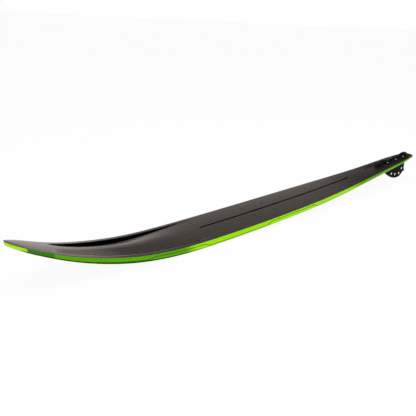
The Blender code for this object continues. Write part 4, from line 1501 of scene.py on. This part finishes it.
@dataclass(frozen=True)
class SetScrew:
    """A headless screw with a hex socket, its point at the origin."""

    radius: float
    length: float
    socket: float
    socket_depth: float = 0.0013
    thread: Thread = Thread(0.0007, 0.00025)
    point: Span = (0.6, 0.72)
    point_length: float = 0.0005
    chamfer: float = 0.0003
    rim: float = 1.2
    rim_depth: float = 0.0002

    def mesh(self, name: str) -> bpy.types.Mesh:
        """Makes the mesh, its socket up along +Z.

        Args:
            name: the mesh's name.

        Returns:
            The mesh.
        """
        top = self.length
        rings = [Ring(self.radius * share, 0.0) for share in self.point]
        rings += self.thread.rings(self.radius, self.point_length, top - self.chamfer)
        rings += [Ring(self.radius - self.chamfer, top), Ring(self.socket * self.rim, top)]
        rings += [Ring(self.socket, top - self.rim_depth, RingShape.HEX)]
        rings += [Ring(self.socket, top - self.socket_depth, RingShape.HEX)]
        return turned_mesh(name, rings)


@dataclass(frozen=True)
class ThreadedInsert:
    """A pressed-in insert with a chamfered lip and a threaded blind bore."""

    radius: float
    bore: float
    length: float
    floor: float
    thread: Thread = Thread(0.0010, 0.0003)
    foot: float = 0.0003
    lip: float = 0.0002
    mouth: float = 0.0004
    thread_start: float = 0.0005
    bottom: float = 0.6

    def mesh(self, name: str) -> bpy.types.Mesh:
        """Makes the mesh, its open end at the origin and its floor down along -Z.

        Args:
            name: the mesh's name.

        Returns:
            The mesh.
        """
        low = self.floor - self.length
        rings = [Ring(self.radius - self.foot, -self.length)]
        rings += [Ring(self.radius, self.foot - self.length)]
        rings += [Ring(self.radius, -self.lip), Ring(self.radius - self.lip, 0.0)]
        rings += [Ring(self.bore + self.mouth, 0.0), Ring(self.bore, -self.mouth)]
        cut = self.thread.rings(self.bore + self.thread.depth, low, -self.thread_start)
        rings += [*cut[::-1], Ring(self.bore * self.bottom, low)]
        return turned_mesh(name, rings)


@dataclass(frozen=True)
class InsertPlug:
    """A push-in plug with a rounded face and a hex socket, its face at the origin."""

    radius: float
    length: float
    socket: float
    socket_depth: float = 0.0003
    stem: float = 0.92
    point: float = 0.8
    point_length: float = 0.0004
    lip: Triple = (0.0006, 0.0005, 0.0002)

    def mesh(self, name: str) -> bpy.types.Mesh:
        """Makes the mesh, its face up along +Z.

        Args:
            name: the mesh's name.

        Returns:
            The mesh.
        """
        stem = self.radius * self.stem
        rings = [Ring(self.radius * self.point, -self.length)]
        rings += [Ring(stem, self.point_length - self.length), Ring(stem, -self.lip[0])]
        rings += [Ring(self.radius, -self.lip[1]), Ring(self.radius, -self.lip[2])]
        rings += [Ring(self.radius - self.lip[2], 0.0), Ring(self.socket, 0.0, RingShape.HEX)]
        rings += [Ring(self.socket, -self.socket_depth, RingShape.HEX)]
        return turned_mesh(name, rings)


# Sub-assemblies


def extent(node: bpy.types.Object, frame: Matrix) -> tuple[Vector, Vector]:
    """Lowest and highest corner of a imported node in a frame.

    Args:
        node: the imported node.
        frame: the frame to measure in.

    Returns:
        The two corners.
    """
    back = frame.inverted()
    points = numpy.array([back @ vertex.co for vertex in node.data.vertices])
    return Vector(points.min(axis=0)), Vector(points.max(axis=0))


def crisp(piece: bpy.types.Object, width: float) -> None:
    """Joins a piece's facets and rounds its edges a little, without moving its points.

    Args:
        piece: the piece.
        width: how far each round reaches from its edge.
    """
    for name in ("custom_normal", "sharp_face", "sharp_edge"):
        if name in piece.data.attributes:
            piece.data.attributes.remove(piece.data.attributes[name])
    join = piece.modifiers.new("join", "WELD")
    join.merge_threshold = JOIN_REACH
    plain = piece.modifiers.new("plain", "DECIMATE")
    plain.decimate_type = "DISSOLVE"
    plain.angle_limit = PLAIN_ANGLE
    eased(piece, width)


def eased(piece: bpy.types.Object, width: float) -> None:
    """Rounds a piece's edges a little.

    Args:
        piece: the piece.
        width: how far each round reaches from its edge.
    """
    piece.data.shade_smooth()
    edges = piece.modifiers.new("edges", "BEVEL")
    edges.width = width
    edges.segments = 2
    edges.limit_method = "ANGLE"
    edges.angle_limit = EASED_ANGLE
    edges.harden_normals = True


def dress(piece: bpy.types.Object, material: bpy.types.Material) -> None:
    """Gives a piece one material for all of it."""
    piece.data.materials.clear()
    piece.data.materials.append(material)


class Finishes:
    """Every finish of the ski, made once."""

    def __init__(self) -> None:
        """Makes the materials."""
        self.deck = DeckFinish().build(SkiLines())
        self.base = BaseFinish().build()
        self.foam = FoamFinish().build()
        self.rubber = RubberFinish().build()
        self.box = AnodisedFinish("box_black_anodised").build()
        self.rail = AnodisedFinish("rail_black_anodised", ticks=True).build()
        self.fin = AnodisedFinish(
            "fin_black_anodised", rubbed=(0.0040, 0.0040, 0.0043), specular=0.02, grain=2600.0
        ).build()
        self.steel = SteelFinish("screw_steel").build()
        self.black_steel = SteelFinish(
            "screw_black_steel",
            colour=(0.012, 0.012, 0.012),
            stained=(0.030, 0.028, 0.026),
            roughness=0.34,
            metal=0.35,
        ).build()
        self.insert = SteelFinish(
            "insert_dark_brass",
            colour=(0.042, 0.034, 0.028),
            stained=(0.026, 0.021, 0.018),
            roughness=0.42,
            metal=0.3,
        ).build()


@dataclass
class SkiBody:
    """The deck skin, the base with its side walls, and the core between them."""

    nodes: dict[str, bpy.types.Object]
    finishes: Finishes
    lines: SkiLines = field(default_factory=SkiLines)
    slot_half: float = 0.0020
    slot_rear: float = 0.0310
    slot_front: float = 0.1890
    binding_pocket_radius: float = 0.00455
    box_pocket_radius: float = 0.0048
    binding_pocket_depth: float = 0.0107
    box_pocket_depth: float = 0.0062
    reach: float = 0.040

    def build(self) -> list[str]:
        """Makes and dresses the pieces.

        Returns:
            The pieces' names.
        """
        deck_marks, base_marks = ("wall", "hollow", "skirt"), ("along", "up", "side")
        deck = Loft(
            "deck_skin", self.lines, deck_marks, lambda cut: (cut.deck_top(), cut.underside())
        ).build()
        shell = Loft(
            "base_tray", self.lines, base_marks, lambda cut: (cut.inside(), cut.outside())
        ).build()
        outline = slot_outline(self.slot_rear, self.slot_front, self.slot_half)
        slot = prism("slot_tool", outline, -self.reach, self.reach, BOX_FRAME)
        tools = [slot, self._notch(), *self._pockets()]
        settle(deck, tools)
        settle(shell, [slot])
        for tool in tools:
            bpy.data.objects.remove(tool, do_unlink=True)
        for piece, node, slot_name, finish in (
            (deck, "top_deck", "deck_laminate", self.finishes.deck),
            (shell, "base_shell", "base_laminate", self.finishes.base),
        ):
            shade(piece.data, LOFT_ANGLE)
            dress(piece, finish)
            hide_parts(node)
            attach(piece, "ski")
        dress(self.nodes["foam_core"], self.finishes.foam)
        return [deck.name, shell.name, "foam_core"]

    def _notch(self) -> bpy.types.Object:
        """Cutter of the narrowing notch in front of the fin box's right side.

        Returns:
            The cutter.
        """
        lines = self.lines
        ends = ((lines.notch_rear, lines.notch_wide), (lines.notch_front, lines.notch_narrow))
        outline = [(x, lines.notch_side - half) for x, half in ends]
        outline += [(x, lines.notch_side + half) for x, half in reversed(ends)]
        return prism("notch_tool", outline, -lines.groove_depth, self.reach, BOX_FRAME)

    def _pockets(self) -> list[bpy.types.Object]:
        """Cutters of the pockets for the inserts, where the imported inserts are.

        Returns:
            The cutters.
        """
        found = []
        for name, node in self.nodes.items():
            if "_insert_" not in name:
                continue
            frame, radius, depth = BOX_FRAME, self.box_pocket_radius, self.box_pocket_depth
            if "binding" in name:
                frame, radius = SKI_FRAME, self.binding_pocket_radius
                depth = self.binding_pocket_depth
            low, high = extent(node, frame)
            outline = circle(((low.x + high.x) / 2, (low.y + high.y) / 2), radius)
            found.append(prism(name + "_tool", outline, high.z - depth, high.z + depth, frame))
        return found


@dataclass
class Hardware:
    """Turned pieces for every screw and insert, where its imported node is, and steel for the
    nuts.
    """

    nodes: dict[str, bpy.types.Object]
    finishes: Finishes
    bodies: dict[str, str]
    mount_screw: ButtonScrew = ButtonScrew(0.0024, 0.0119, 0.0040, 0.0026, 0.00155, 0.0013)
    rear_screw: ButtonScrew = ButtonScrew(0.0020, 0.0137, 0.0036, 0.0024, 0.00135, 0.0013)
    front_screw: ButtonScrew = ButtonScrew(0.0020, 0.0116, 0.0036, 0.0024, 0.00135, 0.0013)
    length_screw: ButtonScrew = ButtonScrew(0.0020, 0.0400, 0.0036, 0.0032, 0.00135, 0.0013)
    clamp_screw: SetScrew = SetScrew(0.0020, 0.0037, 0.00095)
    binding_insert: ThreadedInsert = ThreadedInsert(0.0045, 0.0028, 0.0100, 0.0012)
    box_insert: ThreadedInsert = ThreadedInsert(0.0045, 0.0028, 0.0055, 0.0012)
    plug: InsertPlug = InsertPlug(0.00275, 0.0030, 0.0008)
    plug_sink: float = 0.0001

    def build(self) -> list[str]:
        """Makes every turned piece.

        Returns:
            The pieces' names.
        """
        made = []
        for name, node in self.nodes.items():
            if name.startswith("box_screw_"):
                dark = name.endswith("_4")
                made.append(self._screw(name, node, self.mount_screw, Axis.UP, dark))
            elif name.endswith("depth_screw"):
                kind = self.rear_screw if name.startswith("rear") else self.front_screw
                made.append(self._screw(name, node, kind, Axis.UP, True))
            elif name == "length_screw":
                made.append(self._screw(name, node, self.length_screw, Axis.ALONG, True))
            elif name.startswith("clamp_screw_"):
                made.append(self._set_screw(name, node))
            elif "_insert_" in name:
                made.append(self._insert(name, node))
                if "binding" in name:
                    made.append(self._plug(name, node))
            elif name.endswith("_nut") or name == "length_screw_clip":
                dress(node, self.finishes.steel)
        return made

    @staticmethod
    def _shared(key: str, maker: Callable[[str], bpy.types.Mesh]) -> bpy.types.Mesh:
        """A mesh made once for all the pieces of its kind."""
        return bpy.data.meshes.get(key) or maker(key)

    def _put(
        self, name: str, mesh: bpy.types.Mesh, place: Matrix, finish: bpy.types.Material
    ) -> str:
        """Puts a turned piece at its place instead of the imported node.

        Args:
            name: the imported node's name.
            mesh: the piece's mesh, which other pieces may share.
            place: where the piece stands.
            finish: its material.

        Returns:
            The piece's name.
        """
        if not mesh.materials:
            mesh.materials.append(finish)
        piece = linked("turned_" + name, mesh, place)
        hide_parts(name)
        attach(piece, self.bodies[name])
        return piece.name

    def _screw(
        self,
        name: str,
        node: bpy.types.Object,
        kind: ButtonScrew,
        axis: Axis,
        dark: bool,
    ) -> str:
        """A button head screw along the box's Z or X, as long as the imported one.

        Args:
            name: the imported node's name.
            node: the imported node.
            kind: the screw's sizes.
            axis: the axis that it lies along.
            dark: whether it is of black steel.

        Returns:
            The piece's name.
        """
        low, high = extent(node, BOX_FRAME)
        middle = (low + high) / 2
        if axis is Axis.UP:
            length = high.z - low.z - kind.head_height
            place = Matrix.Translation((middle.x, middle.y, high.z - kind.head_height))
        else:
            length = high.x - low.x - kind.head_height
            place = Matrix.Translation((high.x - kind.head_height, middle.y, middle.z))
            place = place @ Matrix.Rotation(math.pi / 2, 4, "Y")
        tone, finish = "bright", self.finishes.steel
        if dark:
            tone, finish = "black", self.finishes.black_steel
        key = f"screw_{tone}_{2 * kind.shank * MILLIMETRES:.1f}_{length * MILLIMETRES:.1f}"
        mesh = self._shared(key, replace(kind, length=length).mesh)
        return self._put(name, mesh, BOX_FRAME @ place, finish)

    def _set_screw(self, name: str, node: bpy.types.Object) -> str:
        """A set screw across the box, its socket on the left.

        Args:
            name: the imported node's name.
            node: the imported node.

        Returns:
            The piece's name.
        """
        low, high = extent(node, BOX_FRAME)
        middle = (low + high) / 2
        place = Matrix.Translation((middle.x, low.y, middle.z))
        place = place @ Matrix.Rotation(-math.pi / 2, 4, "X")
        mesh = self._shared("set_screw", self.clamp_screw.mesh)
        return self._put(name, mesh, BOX_FRAME @ place, self.finishes.black_steel)

    def _plug(self, name: str, node: bpy.types.Object) -> str:
        """A plug that keeps water out of an insert, a little under its rim.

        Args:
            name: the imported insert's name.
            node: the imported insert.

        Returns:
            The plug's name.
        """
        low, high = extent(node, SKI_FRAME)
        middle = (low + high) / 2
        place = SKI_FRAME @ Matrix.Translation((middle.x, middle.y, high.z - self.plug_sink))
        mesh = self._shared("insert_plug", self.plug.mesh)
        if not mesh.materials:
            mesh.materials.append(self.finishes.insert)
        piece = linked(name.replace("_insert_", "_plug_"), mesh, place)
        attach(piece, self.bodies[name])
        return piece.name

    def _insert(self, name: str, node: bpy.types.Object) -> str:
        """An insert with its open end up, in the deck or under the box.

        Args:
            name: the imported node's name.
            node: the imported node.

        Returns:
            The piece's name.
        """
        binding = "binding" in name
        frame = SKI_FRAME if binding else BOX_FRAME
        kind = self.binding_insert if binding else self.box_insert
        low, high = extent(node, frame)
        place = Matrix.Translation(((low.x + high.x) / 2, (low.y + high.y) / 2, high.z))
        mesh = self._shared("binding_insert" if binding else "box_insert", kind.mesh)
        return self._put(name, mesh, frame @ place, self.finishes.insert)


@dataclass
class FinLines:
    """The fin's side outline, the same as in the part's source, in the box frame."""

    rear: float = 0.0275
    length: float = 0.170
    depth: float = 0.0805
    heel_top: float = 0.635
    sweep: Points = (
        (-0.050, 0.757), (0.030, 0.800), (0.122, 0.945), (0.245, 1.000), (0.412, 0.955),
        (0.585, 0.810), (0.717, 0.648), (0.848, 0.445), (0.941, 0.240),
    )
    sweep_steps: int = 72
    holes: Points = ((0.096, 0.578), (0.198, 0.805), (0.375, 0.768), (0.540, 0.648))
    hole_radius: float = 0.0053
    hole_sides: int = 48
    tab_rear: float = 0.036
    tab_front: float = 0.184
    tab_top: float = 0.0088
    crest_top: float = 0.0124
    crest_setback: float = 0.022
    crest_ramp: float = 0.004
    shoulder_drop: float = 0.0027
    screws: tuple[float, float] = (0.0465, 0.1735)
    window_half: float = 0.0043
    window_roof: float = 0.0079
    window_floor: float = 0.0041
    slit_half: float = 0.00255
    slit_floor: float = -0.0001

    def __post_init__(self) -> None:
        """Finds the base's height under the middle of the fin."""
        self.ski = SkiLines()
        self.base = -Cut(self.ski, self.rear + self.length / 2).deep

    def _shoulder(self, x: float) -> float:
        """Height of the shoulder that stays clear under the base."""
        return -Cut(self.ski, x).deep - self.shoulder_drop

    def _keyhole(self, x: float) -> list[tuple[float, float]]:
        """The window of a depth nut with the slit over it, from front to rear.

        Args:
            x: where the depth screw stands.

        Returns:
            The outline's points.
        """
        half = [(self.slit_half, self.tab_top), (self.slit_half, self.window_roof)]
        half += [(self.window_half, self.window_roof), (self.window_half, self.window_floor)]
        half += [(self.slit_half, self.window_floor), (self.slit_half, self.slit_floor)]
        front = [(x + away, height) for away, height in half]
        return front + [(x - away, height) for away, height in reversed(half)]

    def loops(self) -> list[Points]:
        """The fin's outline from its rear shoulder round the bottom, then its holes.

        Returns:
            The outline, and the outline of each hole.
        """
        front = self.rear + self.length
        swept = [(self.rear + a * self.length, self.base - b * self.depth) for a, b in self.sweep]
        curve = Spline([*swept, (front, self._shoulder(front))])
        outline = [(self.tab_rear, self.tab_top), (self.tab_rear, self._shoulder(self.tab_rear))]
        outline += [(self.rear, self._shoulder(self.rear))]
        outline += [(self.rear, self.base - self.heel_top * self.depth)]
        for i in range(self.sweep_steps + 1):
            share = (1 - math.cos(math.pi * i / self.sweep_steps)) / 2
            x = swept[0][0] + (front - swept[0][0]) * share
            outline.append((x, curve.at(x)))
        outline += [(self.tab_front, self._shoulder(self.tab_front))]
        outline += [(self.tab_front, self.tab_top)]
        outline += self._keyhole(self.screws[1])
        ahead, behind = self.screws[1] - self.crest_setback, self.screws[0] + self.crest_setback
        outline += [(ahead, self.tab_top), (ahead - self.crest_ramp, self.crest_top)]
        outline += [(behind + self.crest_ramp, self.crest_top), (behind, self.tab_top)]
        outline += self._keyhole(self.screws[0])
        loops = [outline]
        for a, b in self.holes:
            centre = (self.rear + a * self.length, self.base - b * self.depth)
            loops.append(circle(centre, self.hole_radius, self.hole_sides))
        return loops


@dataclass
class FinBox:
    """The rails, bracket, saddles and gasket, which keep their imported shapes, and the fin."""

    nodes: dict[str, bpy.types.Object]
    finishes: Finishes
    fin: FinLines = field(default_factory=FinLines)
    edge: float = 0.00018
    fin_edge: float = 0.0004
    fin_half: float = 0.0009

    def build(self) -> list[str]:
        """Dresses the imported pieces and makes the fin.

        Returns:
            The pieces' names.
        """
        kinds = {
            "clamp_rail_left": self.finishes.rail,
            "clamp_rail_right": self.finishes.rail,
            "length_bracket": self.finishes.box,
            "front_saddle": self.finishes.box,
            "rear_saddle": self.finishes.box,
            "box_gasket": self.finishes.rubber,
        }
        for name, finish in kinds.items():
            dress(self.nodes[name], finish)
            crisp(self.nodes[name], self.edge)
        return [*kinds, self._fin()]

    def _fin(self) -> str:
        """Makes the blade with its round holes.

        Returns:
            The piece's name.
        """
        side = BOX_FRAME @ Matrix.Rotation(math.pi / 2, 4, "X")
        blade = plate("fin_plate", self.fin.loops(), -self.fin_half, self.fin_half, side)
        dress(blade, self.finishes.fin)
        eased(blade, self.fin_edge)
        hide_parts("fin_blade")
        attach(blade, "fin")
        return blade.name


# Studio


@dataclass(frozen=True)
class SoftBox:
    """A rectangular lamp that faces a point."""

    name: str
    place: Triple
    target: Triple
    size: Span
    power: float

    def hang(self) -> None:
        """Puts the lamp in the scene."""
        data = bpy.data.lights.new(self.name, "AREA")
        data.shape = "RECTANGLE"
        data.size, data.size_y = self.size
        data.energy = self.power
        lamp = bpy.data.objects.new(self.name, data)
        bpy.context.scene.collection.objects.link(lamp)
        facing = (Vector(self.target) - Vector(self.place)).to_track_quat("-Z", "Y")
        lamp.matrix_world = Matrix.Translation(self.place) @ facing.to_matrix().to_4x4()


@dataclass
class Studio:
    """Pale floor, soft light and the camera at the photograph's angle."""

    eye: Triple = (1.9283, 1.0271, 0.6747)
    azimuth: float = 141.928
    elevation: float = 24.174
    roll: float = -0.499
    lens: float = 41.073
    sensor: float = 36.0
    clip: Span = (0.02, 100.0)
    floor_half: float = 300.0
    floor_drop: float = 0.0002
    floor_grey: float = 0.80
    floor_glow: float = 0.93
    fill: float = 0.75
    backdrop: float = 1.0
    warmth: Colour = (1.0, 0.925, 0.89)
    room_least: float = 0.045
    room_middle: float = 0.17
    middle_band: Span = (0.75, 0.30)
    room_low: float = 0.85
    low_band: Span = (0.33, 0.22)
    near_share: float = 0.2
    side_band: Span = (0.35, -0.35)
    lamps: tuple[SoftBox, ...] = (
        SoftBox("overhead", (-0.2, 0.3, 2.6), (0.0, 0.0, 0.0), (2.6, 1.6), 26.0),
        SoftBox("front_left", (2.0, 2.2, 1.5), (0.1, 0.0, 0.05), (1.6, 1.2), 16.0),
        SoftBox("back_left", (-2.4, 1.4, 1.3), (0.0, 0.0, 0.05), (1.6, 1.0), 7.0),
    )

    def build(self) -> None:
        """Makes the whole studio."""
        bpy.context.scene.view_settings.view_transform = "Standard"
        self._camera()
        self._floor()
        self._world()
        for lamp in self.lamps:
            lamp.hang()

    def _camera(self) -> None:
        """Stands the camera where the photograph was taken from."""
        data = bpy.data.cameras.new("photo_camera")
        data.lens, data.sensor_width = self.lens, self.sensor
        data.clip_start, data.clip_end = self.clip
        camera = bpy.data.objects.new("photo_camera", data)
        bpy.context.scene.collection.objects.link(camera)
        turn, lift = math.radians(self.azimuth), math.radians(self.elevation)
        back = Vector(
            (math.sin(turn) * math.cos(lift), -math.cos(turn) * math.cos(lift), math.sin(lift))
        )
        look = (-back).to_track_quat("-Z", "Y").to_matrix().to_4x4()
        roll = Matrix.Rotation(math.radians(self.roll), 4, "Z")
        camera.matrix_world = SKI_FRAME @ Matrix.Translation(self.eye) @ look @ roll
        bpy.context.scene.camera = camera

    def _floor(self) -> None:
        """Lays a pale floor, white to the camera except where the ski shades it."""
        half = self.floor_half
        mesh = bpy.data.meshes.new("floor")
        corners = [(-half, -half, 0.0), (half, -half, 0.0), (half, half, 0.0), (-half, half, 0.0)]
        mesh.from_pydata(corners, [], [(0, 1, 2, 3)])
        graph = Graph(bpy.data.materials.new("pale_floor"))
        seen = graph.of_rays("Camera", "Glossy", "Transmission")
        grey = (self.floor_grey,) * 3
        plain = graph.add("ShaderNodeBsdfDiffuse", None, {"Color": (*grey, 1.0)})
        glow = {"Color": (1.0, 1.0, 1.0, 1.0), "Strength": 1.0}
        white = graph.add("ShaderNodeEmission", None, glow)
        mesh.materials.append(graph.blend(seen * self.floor_glow, plain, white))
        linked("floor", mesh, Matrix.Translation((0.0, 0.0, -self.floor_drop)))

    def _world(self) -> None:
        """Fills the room with soft light: white behind the ski, darker on the camera's side."""
        world = bpy.data.worlds.new("studio")
        bpy.context.scene.world = world
        graph = Graph(world)
        direct, shine = graph.of_rays("Camera", "Transmission"), graph.of_rays("Glossy")
        way = graph.add("ShaderNodeTexCoord", output="Generated")
        across, up = graph.split(way, "Y"), graph.split(way, "Z")
        room = up.step(*self.middle_band) * self.room_middle + self.room_least
        room = room + up.step(*self.low_band) * self.room_low
        room = room * (across.step(*self.side_band) * (1 - self.near_share) + self.near_share)
        level = room * shine + (1 - shine) * self.fill
        level = level * (1 - direct) + direct * self.backdrop
        tint = graph.mix(shine, (1.0, 1.0, 1.0), self.warmth)
        lit = graph.add("ShaderNodeBackground", None, {"Color": tint, "Strength": level})
        graph.add("ShaderNodeOutputWorld", None, {"Surface": lit})


def main() -> None:
    """Builds every sub-assembly in order and reports its pieces."""
    logging.basicConfig(level=logging.INFO, format="%(name)s: %(message)s")
    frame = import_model()
    nodes = frame["nodes"]
    bodies = {
        node: body
        for body, members in frame["record"]["behaviour"]["bodies"].items()
        for node in members
    }
    finishes = Finishes()
    for assembly in (
        SkiBody(nodes, finishes),
        Hardware(nodes, finishes, bodies),
        FinBox(nodes, finishes),
    ):
        for piece in assembly.build():
            LOG.info("%s: %s", type(assembly).__name__, piece)
    Studio().build()
    bpy.context.view_layer.update()


if __name__ == "__main__":
    main()
